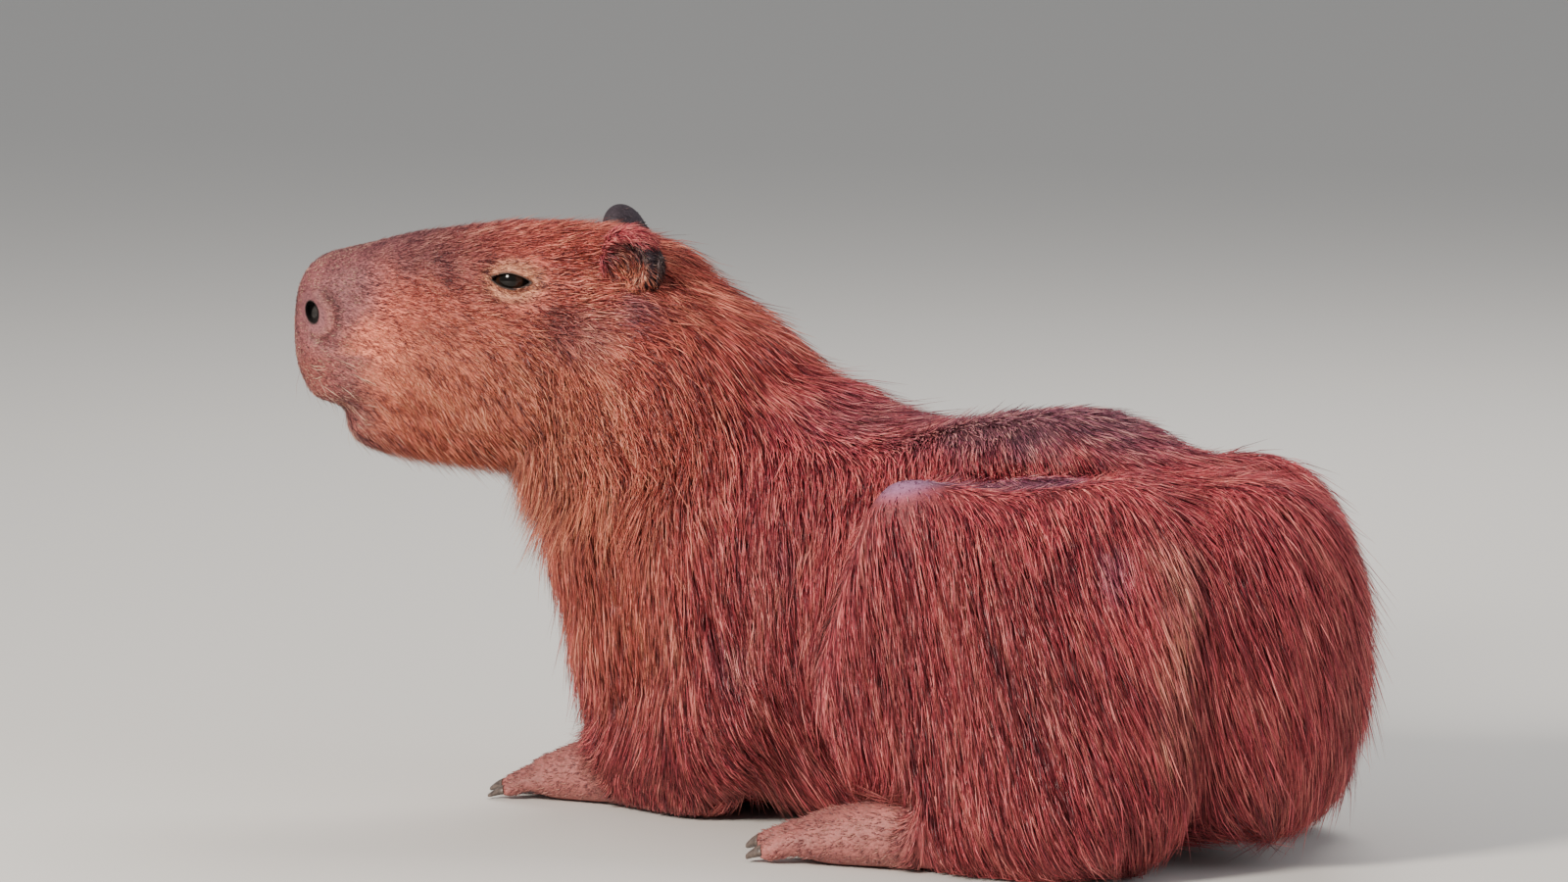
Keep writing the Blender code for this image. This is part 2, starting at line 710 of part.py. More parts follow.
def make_lock(tree, site, bend, collection):
    """One lock: a flat three-sided blade, sunk at its root and tapered to a point. None without room."""
    place, normal = site
    length, width, lift = coat_at(place)
    line = lay_line(tree, place, normal, length, bend)
    if len(line) < 6:
        return None
    reach = len(line) * LOCK_STEP / length
    bm = bmesh.new()
    rings = []
    for along, wide, high in LOCK_STATIONS:
        spot, up, way = line[min(len(line) - 1, int(along * len(line)))]
        height = high * (LOCK_SUNK if high < 0 else lift * reach)
        side = way.cross(up).normalized() * width * wide / 2
        centre = spot + up * height
        if wide == 0.0:
            rings.append([bm.verts.new(centre)])
            continue
        rings.append([
            bm.verts.new(centre - side - up * LOCK_THICKNESS / 2),
            bm.verts.new(centre + side - up * LOCK_THICKNESS / 2),
            bm.verts.new(centre + up * LOCK_THICKNESS / 2),
        ])
    bm.faces.new(rings[0])
    for ring, following in zip(rings, rings[1:]):
        for i in range(3):
            j = (i + 1) % 3
            if len(following) == 1:
                bm.faces.new((ring[i], ring[j], following[0]))
            else:
                bm.faces.new((ring[i], ring[j], following[j], following[i]))
    bmesh.ops.triangulate(bm, faces=bm.faces)
    return object_from(bm, "lock", collection)


def locks_of(node, others, tree, sites, collection):
    """The locks that start well inside a node's own skin."""
    own = tree_of(node)
    rest = [tree_of(other) for other in others if boxes_meet(node, other, LOCK_KEEP_OFF)]
    draw = random.Random(COAT_SEED)
    locks = []
    for site in sites:
        bend = draw.uniform(-LOCK_BEND, LOCK_BEND)
        if own.find_nearest(site[0])[3] > SKIN_WITHIN:
            continue
        if any(edge.find_nearest(site[0])[3] < LOCK_KEEP_OFF for edge in rest):
            continue
        lock = make_lock(tree, site, bend, collection)
        if lock:
            locks.append(lock)
    return locks


def trim(lock, rooms, collection):
    """Cuts a lock clear of what it would run into, and says whether most of it is left."""
    before = volume_of(lock)
    for room, room_tree in rooms:
        if tree_of(lock).overlap(room_tree):
            solve(lock, [duplicate(room, "room", collection)], "DIFFERENCE")
            if len(lock.data.polygons) < 4:
                return False
            keep_largest(lock)
    return volume_of(lock) > LOCK_LEFT * before


def dress(plain, bare, tree, sites, collection):
    """Fuses its locks onto each plain node, in order, cut clear of all other nodes and of their locks."""
    rooms = {node.name: [grown_copy(node, CLAIM_GAP, collection)] for node in plain + bare}
    rooms = {name: [(room, tree_of(room)) for room in made] for name, made in rooms.items()}
    for node in plain:
        others = [other for other in plain + bare if other is not node]
        obstacles = [room for other in others for room in rooms[other.name]]
        locks = locks_of(node, others, tree, sites, collection)
        locks = [lock for lock in locks if trim(lock, obstacles, collection)]
        for lock in locks:
            room = grown_copy(lock, CLAIM_GAP, collection)
            rooms[node.name].append((room, tree_of(room)))
        if locks:
            solve(node, locks, "UNION", "MANIFOLD")
            keep_largest(node)


def volume_of(obj):
    bm = bmesh.new()
    bm.from_mesh(obj.data)
    volume = bm.calc_volume(signed=True)
    bm.free()
    return volume


def tree_of(obj):
    return BVHTree.FromPolygons(*polygons_of(obj))


def polygons_of(obj):
    return [v.co for v in obj.data.vertices], [tuple(f.vertices) for f in obj.data.polygons]


def clear_of(obj, nodes, work):
    """Cuts room in obj for each node that it meets."""
    near = [node for node in nodes if node is not obj and boxes_meet(node, obj)]
    if near:
        solve(obj, [grown_copy(node, CLAIM_GAP, work) for node in near], "DIFFERENCE")
        keep_largest(obj)


def claim(nodes, obj, material, collection, work):
    """Cuts room in obj for the nodes already made, then adds it to them."""
    clear_of(obj, nodes, work)
    settle(obj, material, collection)
    nodes.append(obj)


def settle(obj, material, collection):
    """Moves a finished node to its collection and gives it its material and shading."""
    for owner in list(obj.users_collection):
        owner.objects.unlink(obj)
    collection.objects.link(obj)
    obj.data.materials.clear()
    obj.data.materials.append(finish_material(material))
    obj.data.shade_smooth()
    obj.data.set_sharp_from_angle(angle=math.radians(50))


def rest_on_origin(nodes):
    """Puts the origin under the middle of the model's box, at its base."""
    corners = [v.co for node in nodes for v in node.data.vertices]
    middle = [(min(c[i] for c in corners) + max(c[i] for c in corners)) / 2 for i in range(2)]
    base = min(c.z for c in corners)
    for node in nodes:
        node.data.transform(Matrix.Translation((-middle[0], -middle[1], -base)))


def main():
    clear_scene()
    capybara = new_collection("capybara")
    work = new_collection("cutters")
    nodes = []
    sides = (("left", -1), ("right", 1))

    for word, side in sides:
        eye = ball_object("eye_" + word, side_point(EYE_CENTRE, side), EYE_RADIUS, work)
        claim(nodes, eye, "eye", capybara, work)
    for word, side in sides:
        for kind, masses, toes, triangles in (
            ("hind_foot_", HIND_FOOT, HIND_TOES, FOOT_TRIANGLES),
            ("fore_foot_", FORE_FOOT, FORE_TOES, FOOT_TRIANGLES),
        ):
            for number, toe in enumerate(toes, 1):
                claw = make_claw(f"claw_{kind[:4]}_{word}_{number}", toe, side, work)
                claim(nodes, claw, "claw", capybara, work)
            foot = make_foot(kind + word, masses, toes, side, work, triangles)
            claim(nodes, foot, "skin", capybara, work)
    for word, side in sides:
        claim(nodes, make_ear("ear_" + word, side, work), "ear", capybara, work)

    head = head_form(work)
    thin_out(head, HEAD_TRIANGLES)
    solve(head, [half_space(HEAD_CUT, 1, work)], "DIFFERENCE")
    gaps = [lid_gap(side, work) for _, side in sides] + [nostril(side, work) for _, side in sides]
    solve(head, gaps, "DIFFERENCE")
    head.name = "head"
    claim(nodes, head, "coat", capybara, work)

    form = body_form(work)
    tree = tree_of(form)
    sites = coat_sites(form)
    parted = {}
    parted["neck"] = duplicate(form, "neck", work)
    solve(parted["neck"], [half_space(HEAD_CUT, -1, work)], "DIFFERENCE")
    solve(parted["neck"], [half_space(NECK_CUT, 1, work)], "DIFFERENCE")
    for kind, chains in (("haunch_", (HAUNCH_FRONT, HAUNCH_REAR)), ("foreleg_", (ARM,))):
        for word, side in sides:
            limb = duplicate(form, kind + word, work)
            solve(limb, [cutter_of(chains, side, CUTTER_MARGIN, work)], "INTERSECT")
            parted[limb.name] = limb
    parted["torso"] = form
    form.name = "torso"
    solve(form, [half_space(NECK_CUT, -1, work)], "DIFFERENCE")
    plain = []
    for node in parted.values():
        keep_largest(node)
        clear_of(node, nodes + plain, work)
        plain.append(node)
    dress(plain, nodes, tree, sites, work)
    for node in plain:
        settle(node, "coat", capybara)
        nodes.append(node)

    rest_on_origin(nodes)
    for helper in list(work.objects):
        bpy.data.objects.remove(helper, do_unlink=True)


main()
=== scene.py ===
"""Looks of the resting capybara: one skin over all flesh, a bristly coat of mesh tufts, eyes and claws.

The masses are those of the solids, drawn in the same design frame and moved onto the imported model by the
place of its left eye.
"""

import json
from math import ceil, cos, hypot, pi, radians, sin

import bmesh
import bpy
import numpy as np
from mathutils import Matrix, Vector
from mathutils.bvhtree import BVHTree
from mathutils.kdtree import KDTree


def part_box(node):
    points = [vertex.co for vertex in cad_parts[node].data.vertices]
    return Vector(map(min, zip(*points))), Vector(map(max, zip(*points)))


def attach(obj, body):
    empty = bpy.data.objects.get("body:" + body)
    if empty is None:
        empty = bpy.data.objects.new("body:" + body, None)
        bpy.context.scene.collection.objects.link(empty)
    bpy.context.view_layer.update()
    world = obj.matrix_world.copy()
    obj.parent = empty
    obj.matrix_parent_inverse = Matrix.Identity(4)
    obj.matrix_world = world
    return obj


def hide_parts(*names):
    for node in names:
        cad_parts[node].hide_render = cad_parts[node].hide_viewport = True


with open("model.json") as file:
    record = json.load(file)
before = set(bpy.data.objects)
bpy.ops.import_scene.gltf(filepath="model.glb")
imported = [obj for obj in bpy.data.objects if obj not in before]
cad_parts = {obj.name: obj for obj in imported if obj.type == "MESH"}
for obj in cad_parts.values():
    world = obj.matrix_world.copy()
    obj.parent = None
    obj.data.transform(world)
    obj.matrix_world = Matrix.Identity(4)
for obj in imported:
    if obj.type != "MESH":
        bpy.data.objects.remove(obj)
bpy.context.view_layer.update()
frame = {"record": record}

HEAD_TURN = radians(35)
NOSE_TIP = Vector((-0.3085, -0.1675, 0.325))
HEAD = Matrix.Translation(NOSE_TIP) @ Matrix.Rotation(HEAD_TURN, 4, "Z")
BODY = Matrix.Identity(4)
MIRROR = Matrix.Diagonal((1.0, -1.0, 1.0, 1.0))
EYE_RADIUS = 0.0121
EYE_CENTRE = (0.157, 0.0445, 0.0465)
EYE_SUNK = 0.0008
LID_OPENING = (0.0132, 0.005)
HIND_FROM = 0.15
HIND_LOW = 0.1
HIND_STAGGER = (0.012, 0.032)
SEED = 5
FAR = 1e9
SIDES = {"left": -1, "right": 1}


def masses(*rows):
    """Rounded masses from rows in millimetres: centre, half sizes and squareness."""
    return [(tuple(v / 1000 for v in row[:3]), tuple(v / 1000 for v in row[3:6]), row[6]) for row in rows]


def stroke(radius, depth, *path):
    """A stroke on the skin, given in millimetres: path, radius and depth."""
    return [tuple(v / 1000 for v in point) for point in path], radius / 1000, depth / 1000


# The trunk and neck, front to back
TRUNK = masses(
    (-50, 0, 125, 114, 113, 128, 2.1),
    (40, 0, 150, 112, 128, 142, 2.2),
    (150, 0, 143, 120, 140, 144, 2.2),
    (262, 0, 152, 105, 138, 152, 2.1),
    (338, 0, 140, 110, 130, 134, 2.2),
    (405, 0, 146, 80, 86, 126, 2.4),
)
NECK = masses(
    (5, -2, 215, 112, 104, 94, 2.1),
    (-70, -20, 190, 106, 96, 100, 2.1),
    (-60, -18, 268, 97, 84, 86, 2.1),
    (-100, -42, 250, 86, 72, 78, 2.1),
    (-112, -45, 318, 74, 64, 66, 2.2),
)
NAPE_END = (HEAD @ Vector((0.245, 0.0, -0.004)), (0.056, 0.058, 0.072), 2.2)
HOLLOWS = [
    ((0.128, 0.0, 0.3), 0.075, -0.006),
    ((0.4, 0.0, 0.28), 0.06, -0.006),
]

# The head in its own frame, nose to nape
SKULL = masses(
    (43, 0, 7, 46, 40.5, 56, 2.8),
    (100, 0, 6, 55, 46, 70, 2.7),
    (160, 0, 4, 55, 53, 79, 2.5),
    (215, 0, 0, 55, 64, 80, 2.4),
    (255, 0, -6, 50, 65, 76, 2.2),
)
JAW = masses(
    (60, 0, -59, 27, 24, 20, 2.2),
    (115, 0, -50, 40, 36, 32, 2.2),
    (180, 0, -40, 50, 58, 44, 2.2),
    (225, 0, -30, 50, 62, 56, 2.2),
)
BROW = masses(
    (140, 37, 55, 18, 12, 11, 2.0),
    (172, 41, 56, 20, 12, 11, 2.0),
)
EYE_MOUND = masses(
    (157, 41.5, 46.2, 18.5, 18, 15.5, 2.0),
    (157, 30, 44, 26, 16, 20, 2.0),
)

# The left limbs; the right ones are their mirror images, with the hind one tucked further forward
HAUNCH_FRONT = masses(
    (232, -138, 222, 42, 36, 46, 2.2),
    (208, -136, 118, 60, 42, 78, 2.1),
    (300, -118, 162, 95, 58, 98, 2.1),
    (322, -140, 56, 100, 44, 58, 2.1),
)
HAUNCH_REAR = masses(
    (300, -118, 162, 95, 58, 98, 2.1),
    (368, -84, 160, 76, 68, 112, 2.1),
    (356, -102, 66, 78, 60, 68, 2.1),
)
HIP = [HAUNCH_REAR[1], *masses((336, 0, 158, 105, 110, 114, 2.2))]
ARM = masses(
    (10, -94, 180, 62, 36, 66, 2.1),
    (58, -108, 96, 42, 34, 50, 2.1),
    (-15, -88, 42, 52, 33, 42, 2.1),
    (-92, -74, 28, 34, 28, 28, 2.0),
)
HIND_FOOT = masses(
    (345, -146, 30, 34, 24, 32, 2.2),
    (262, -160, 26, 40, 27, 25, 2.2),
    (196, -170, 17, 34, 31, 19, 2.3),
)
FORE_FOOT = masses(
    (-100, -74, 24, 28, 24, 24, 2.1),
    (-138, -76, 16, 26, 26, 17, 2.2),
)
# Toes: where each starts on its foot, how far it reaches, its turn outwards and its half width
HIND_TOES = [
    ((0.184, -0.149, 0.013), 0.036, -6, 0.0092),
    ((0.178, -0.171, 0.013), 0.044, 8, 0.0104),
    ((0.19, -0.192, 0.012), 0.034, 24, 0.009),
]
FORE_TOES = [
    ((-0.142, -0.057, 0.011), 0.026, -20, 0.0068),
    ((-0.15, -0.069, 0.012), 0.032, -6, 0.0078),
    ((-0.15, -0.083, 0.012), 0.032, 8, 0.0078),
    ((-0.142, -0.096, 0.011), 0.026, 24, 0.0068),
]
CLAW_LENGTH = 0.013
EAR_BASES = {-1: (0.243, -0.058, 0.062), 1: (0.227, 0.057, 0.067)}
EAR_HALF = (0.022, 0.013, 0.024)
EAR_TOE_IN = {-1: 24, 1: 62}

# Strokes on the face in the head's frame: radius, depth along the skin's normal and path
FACE_STROKES = [
    stroke(4.8, -3, (0, 0, 4), (4, 0, -20), (14, 0, -46)),
    stroke(5, -3, (18, 0, -53), (26, 16, -52), (40, 29, -48), (54, 34, -45)),
    stroke(15, 2.4, (14, 22, -38), (36, 36, -36)),
    stroke(5.6, 1.6, (18, 38, 4), (27.5, 40, 12), (27, 39, 24), (16, 32, 33)),
    stroke(4.8, -1.5, (24, 40, -1), (34.5, 41, 10), (33, 40, 26), (22, 36, 37)),
    stroke(5.2, -2.6, (4, 18, 6), (14, 32, 3), (26, 40, -1), (46, 42, -6)),
    stroke(20, -2, (100, 44, 38), (132, 48, 36)),
    stroke(4.2, -1.8, (138, 52, 41.5), (157, 56, 35), (178, 56, 41)),
    stroke(4, -1.2, (134, 50, 53), (157, 52, 61), (182, 54, 54)),
    stroke(6, 1.2, (146, 52, 52), (157, 54, 55), (170, 54, 52)),
]
NOSTRIL = (0.0135, 0.036, 0.0205)
NOSTRIL_HALF = (0.0052, 0.0086)
NOSTRIL_LEAN = radians(14)

# Markings, with the crease lines also painted darker and the ridge stripe also painted lighter: places and paths in
# the design frame, and on the head in its own frame
THIGH_EDGE = [(0.204, -0.146, 0.25), (0.186, -0.15, 0.215), (0.166, -0.15, 0.15), (0.16, -0.15, 0.07)]
KNEE_CREASE = [(0.246, -0.098, 0.272), (0.27, -0.086, 0.276), (0.31, -0.072, 0.28), (0.34, -0.06, 0.282)]
KNEE_EDGE = [(0.228, -0.14, 0.268), (0.262, -0.108, 0.272), (0.318, -0.088, 0.272)]
ELBOW_LINE = [(0.13, -0.128, 0.214), (0.095, -0.136, 0.165), (0.062, -0.14, 0.121)]
BARE_SPOTS = [
    ((0.064, -0.139, 0.124), 0.022, 0.32),
    ((0.106, -0.128, 0.2), 0.014, 0.25),
    ((0.402, -0.135, 0.216), 0.02, 0.4),
]
RIDGE_STRIPE = [(0.43, -0.098, 0.226), (0.444, -0.114, 0.165), (0.444, -0.116, 0.1)]
KNEE = (0.223, -0.147, 0.267)
EYE_RING = (EYE_CENTRE[0], 0.052, EYE_CENTRE[2] - 0.001)
BELOW_EYE = (0.2, 0.06, 0.012)
BELOW_EAR = (0.238, 0.064, 0.03)
BODY_STROKES = ((KNEE_CREASE, 0.018, -0.011), (THIGH_EDGE, 0.015, -0.0125), (ELBOW_LINE, 0.016, -0.004))

# The skin and the tufts
SKIN_VOXEL = 0.0027
SKIN_INSET = (0.004, 0.001)  # the skin lies this deep inside the solids on the body and on the head
BODY_TUFTS = 88000
HEAD_TUFTS = 53000
EAR_TUFTS = 3000
WHISKERS = 90
BODY_WIDTH = 0.00084
HEAD_WIDTH = 0.0007
WHISKER_WIDTH = 0.0004
FOOT_HAIR = 0.006
SHARES = (0.0, 0.5, 1.0)  # where the stations of a tuft lie on its length
# A tuft: two rings of three points and the tip, their places along and across it, and its faces
TUFT_ALONG = np.array([0.0, 0.0, 0.0, 0.5, 0.5, 0.5, 1.0])
TUFT_LATERAL = np.array([0.0, 1.0, 0.5, 0.0, 1.0, 0.5, 0.5])
TUFT_FACES = [(0, 2, 1), (0, 1, 4, 3), (1, 2, 5, 4), (2, 0, 3, 5), (3, 4, 6), (4, 5, 6), (5, 3, 6)]
ROOT_SUNK = 0.0012
FLOOR_GAP = 0.0015
TUFT_TRIANGLES = 10
PIECE_TRIANGLES = 190000
UNWRAP_VOXEL = 0.006
PATCH = 0.003  # a tuft's patch on the map
# Painted shade: the skin under the coat is darkened by this factor to stand for the shade between the tufts.
UNDER_COAT = 0.32  # how bright the skin is under the coat, against the tufts
STREAK = 14.0  # how far the streaks of short fur are drawn out
TUFT_STREAK = 9.0  # and those of paler and darker tufts
BODY_COMB = np.array([0.42, 0.0, -0.91]) / hypot(0.42, 0.91)

# The photograph's view
IMAGE_WIDTH = 1600
METRES_PER_PIXEL = 0.00069
VIEW_TURN = radians(40)
VIEW_TILT = radians(7)
VIEW_DISTANCE = 8.0
VIEW_HEIGHT = 0.2564
SENSOR = 36.0
# Lights: name, steps towards the camera, to its right and up, size, power, colour and whether it glints
LIGHTS = (
    ("key", (2.3, -1.9, 1.7), 0.7, 190.0, (1.0, 0.91, 0.8), True),
    ("fill", (1.6, 2.6, 1.3), 2.4, 34.0, (0.95, 0.95, 1.0), False),
    ("rim", (-2.0, 0.6, 2.4), 1.6, 70.0, (1.0, 0.95, 0.9), False),
)
LIGHT_AIM = Vector((0.0, 0.0, 0.18))


def colour(red, green, blue):
    """A linear colour from the eight bit values of a display."""
    return ((np.array([red, green, blue]) / 255 + 0.055) / 1.055) ** 2.4


RED_BROWN = colour(204, 85, 93)
ORANGE = colour(228, 122, 94)
CHEEK_TAN = colour(224, 130, 100)
VIOLET_GREY = colour(122, 72, 80)
SNOUT_PINK = colour(140, 72, 68)
PALE_RING = colour(228, 158, 124)
SPINE_GREY = colour(142, 96, 114)
KNEE_LILAC = colour(144, 100, 134)
FOOT_PINK = colour(156, 94, 90)
STRIPE_TAN = colour(255, 152, 140)
EAR_DARK = colour(48, 38, 48)
EAR_INSIDE = colour(120, 72, 62)
PALE_HAIR = colour(232, 196, 166)
LID_BLACK = np.array([0.022, 0.013, 0.012])
NOSTRIL_BLACK = np.array([0.006, 0.004, 0.004])


def across(point):
    """Where a point of the animal's left lies on its right."""
    x, y, z = point
    if x > HIND_FROM:
        x -= HIND_STAGGER[z < HIND_LOW]
    return (x, -y, z)


def to_side(masses, side):
    if side < 0:
        return masses
    return [(across(centre), half, square) for centre, half, square in masses]


def points_of(mass, place):
    centre, half, square = mass
    ball = bmesh.new()
    bmesh.ops.create_uvsphere(ball, u_segments=28, v_segments=16, radius=1.0)
    points = []
    for vertex in ball.verts:
        size = sum(abs(c) ** square for c in vertex.co) ** (1.0 / square)
        offset = Vector(h * c / size for h, c in zip(half, vertex.co))
        points.append(place @ (Vector(centre) + offset))
    ball.free()
    return points


def wrap(bm, groups):
    verts = [bm.verts.new(p) for group in groups for p in group]
    made = bmesh.ops.convex_hull(bm, input=verts, use_existing_faces=False)
    inner = {g for g in made["geom_interior"] + made["geom_unused"] if isinstance(g, bmesh.types.BMVert)}
    bmesh.ops.delete(bm, geom=list(inner), context="VERTS")


def wrap_chain(bm, masses, place=BODY):
    groups = [points_of(mass, place) for mass in masses]
    for pair in zip(groups, groups[1:]):
        wrap(bm, pair)


def apply_modifiers(obj):
    bpy.context.view_layer.update()
    graph = bpy.context.evaluated_depsgraph_get()
    mesh = bpy.data.meshes.new_from_object(obj.evaluated_get(graph))
    old = obj.data
    obj.modifiers.clear()
    obj.data = mesh
    bpy.data.meshes.remove(old)


def mesh_object(name, bm):
    bmesh.ops.recalc_face_normals(bm, faces=bm.faces)
    mesh = bpy.data.meshes.new(name)
    bm.to_mesh(mesh)
    bm.free()
    obj = bpy.data.objects.new(name, mesh)
    bpy.context.scene.collection.objects.link(obj)
    return obj


def fuse(obj, voxel, rounds):
    remesh = obj.modifiers.new("fuse", "REMESH")
    remesh.mode = "VOXEL"
    remesh.voxel_size = voxel
    smooth = obj.modifiers.new("round_off", "SMOOTH")
    smooth.factor = 0.5
    smooth.iterations = rounds
    apply_modifiers(obj)


def cut_at_floor(obj):
    bm = bmesh.new()
    bm.from_mesh(obj.data)
    geometry = list(bm.verts) + list(bm.edges) + list(bm.faces)
    bmesh.ops.bisect_plane(bm, geom=geometry, dist=1e-5, plane_co=(0, 0, 0), plane_no=(0, 0, 1), clear_inner=True)
    bmesh.ops.holes_fill(bm, edges=[e for e in bm.edges if e.is_boundary], sides=0)
    bm.to_mesh(obj.data)
    bm.free()


def coordinates(mesh):
    found = np.empty(len(mesh.vertices) * 3, dtype=np.float32)
    mesh.vertices.foreach_get("co", found)
    return found.reshape(-1, 3).astype(float)


def normals(mesh):
    found = np.empty(len(mesh.vertices) * 3, dtype=np.float32)
    mesh.vertex_normals.foreach_get("vector", found)
    return found.reshape(-1, 3).astype(float)


def place_vertices(mesh, where):
    mesh.vertices.foreach_set("co", where.astype(np.float32).ravel())
    mesh.update()


def unit(vectors):
    return vectors / np.maximum(np.linalg.norm(vectors, axis=-1, keepdims=True), 1e-9)


def ramp(values, start, end):
    """0 at start and 1 at end, smooth between."""
    share = np.clip((values - start) / (end - start), 0.0, 1.0)
    return share * share * (3.0 - 2.0 * share)


def path_distance(points, path):
    best = np.full(len(points), FAR)
    for a, b in zip(path[:-1], path[1:]):
        a, b = np.array(a), np.array(b)
        along = b - a
        t = np.clip((points - a) @ along / (along @ along), 0.0, 1.0)
        best = np.minimum(best, np.linalg.norm(points - a - t[:, None] * along, axis=1))
    return best


def bell(distance, radius):
    share = np.clip(distance / radius, 0.0, 1.0)
    return (1.0 - share * share) ** 2


def in_head(points):
    """Design places in the head's own frame, with the left side folded onto the right."""
    d = points - np.array(NOSE_TIP)
    c, s = cos(HEAD_TURN), sin(HEAD_TURN)
    return np.stack([d[:, 0] * c + d[:, 1] * s, np.abs(-d[:, 0] * s + d[:, 1] * c), d[:, 2]], axis=1)


def head_share(points):
    h = in_head(points)
    return ramp(h[:, 0], 0.3, 0.22) * ramp(h[:, 2], -0.135, -0.085)


def mass_reach(points, masses):
    """1 on the surface of the nearest mass, less inside it and more outside."""
    best = np.full(len(points), FAR)
    for centre, half, _ in masses:
        best = np.minimum(best, np.linalg.norm((points - np.array(centre)) / (np.array(half) + 0.003), axis=1))
    return best


def with_middles(masses):
    """The masses of a chain and those halfway between them."""
    middles = []
    for (centre, half, power), (after, wide, _) in zip(masses[:-1], masses[1:]):
        middles.append(((np.array(centre) + np.array(after)) / 2, (np.array(half) + np.array(wide)) / 2, power))
    return [*masses, *middles]


def foot_chains():
    """The chains of masses of all feet and toes."""
    chains = []
    for side in SIDES.values():
        for masses, toes in ((HIND_FOOT, HIND_TOES), (FORE_FOOT, FORE_TOES)):
            chains += [to_side(masses, side)] + [toe_chain(toe, side)[0] for toe in toes]
    return chains


def foot_share(points):
    """1 on the feet, down to 0 on the heels, which the coat of the haunches covers."""
    best = np.full(len(points), FAR)
    for chain in foot_chains():
        best = np.minimum(best, mass_reach(points, with_middles(chain)))
    return ramp(best, 1.36, 1.08) * ramp(points[:, 0], 0.285, 0.255)


def toe_chain(toe, side):
    start, length, out, half = toe
    angle = radians(out)
    ahead = Vector((-cos(angle), side * sin(angle), 0.0))
    start = Vector(across(start) if side > 0 else start)
    knuckle = start + ahead * length * 0.45 + Vector((0, 0, half * 0.25))
    tip = start + ahead * length
    tip.z = half * 0.8
    chain = [
        (start, (half * 1.5, half * 1.2, half), 2.0),
        (knuckle, (half * 1.1, half * 1.08, half * 1.02), 2.0),
        (tip, (half * 1.0, half * 0.92, half * 0.82), 2.0),
    ]
    return chain, tip, ahead


def build_skin():
    """One closed skin over head, body, limbs and feet, in the design frame."""
    body = bmesh.new()
    wrap_chain(body, TRUNK)
    wrap_chain(body, NECK)
    for mass in NECK[2:]:
        wrap_chain(body, [NAPE_END, mass])
    for side in SIDES.values():
        for chain in (HAUNCH_FRONT, HAUNCH_REAR, ARM):
            masses = to_side(chain, side)
            wrap_chain(body, masses)
            wrap(body, [points_of(mass, BODY) for mass in masses[-3:]])
        wrap(body, [points_of(mass, BODY) for mass in to_side(HAUNCH_FRONT[:3], side)])
        wrap_chain(body, to_side(HIP, side))
    body = mesh_object("body_form", body)
    fuse(body, 0.006, 12)
    carved = coordinates(body.data)
    facing = normals(body.data)
    for centre, radius, depth in HOLLOWS:
        x, y, z = centre
        near = bell(path_distance(carved, [(x, y - 0.04, z), (x, y + 0.04, z)]), radius)
        carved = carved + facing * (near * depth)[:, None]
    place_vertices(body.data, carved)
    cut_at_floor(body)

    head = bmesh.new()
    wrap_chain(head, SKULL, HEAD)
    wrap_chain(head, JAW, HEAD)
    for place in (HEAD, HEAD @ MIRROR):
        wrap_chain(head, BROW, place)
        wrap_chain(head, EYE_MOUND, place)
    wrap_chain(head, NECK)
    for mass in NECK[2:]:
        wrap_chain(head, [NAPE_END, mass])
    head = mesh_object("head_form", head)
    fuse(head, 0.0035, 9)

    feet = bmesh.new()
    for chain in foot_chains():
        wrap_chain(feet, chain)
    feet = mesh_object("feet_form", feet)
    fuse(feet, 0.0028, 4)
    cut_at_floor(feet)

    whole = bmesh.new()
    for form in (body, head, feet):
        whole.from_mesh(form.data)
        bpy.data.objects.remove(form, do_unlink=True)
    skin = mesh_object("skin", whole)
    fuse(skin, SKIN_VOXEL, 5)
    refine_face(skin)
    sculpt(skin)
    return skin


def refine_face(skin):
    """Splits the skin's faces finer on the face, and finer again round the eyes, nostrils and mouth."""
    spots = [np.array([EYE_CENTRE[0], EYE_CENTRE[1] + 0.01, EYE_CENTRE[2]]), np.array(NOSTRIL)]
    for reach in (0.03, 0.021):
        bm = bmesh.new()
        bm.from_mesh(skin.data)
        places = in_head(np.array([v.co for v in bm.verts]))
        near = np.zeros(len(places), dtype=bool)
        for spot in spots:
            near |= np.linalg.norm(places - spot, axis=1) < reach
        for path, radius, _ in FACE_STROKES[:2]:
            near |= path_distance(places, path) < reach * 0.35
        bm.verts.ensure_lookup_table()
        edges = [e for e in bm.edges if near[e.verts[0].index] and near[e.verts[1].index]]
        bmesh.ops.subdivide_edges(bm, edges=edges, cuts=1, use_grid_fill=True)
        bm.to_mesh(skin.data)
        bm.free()


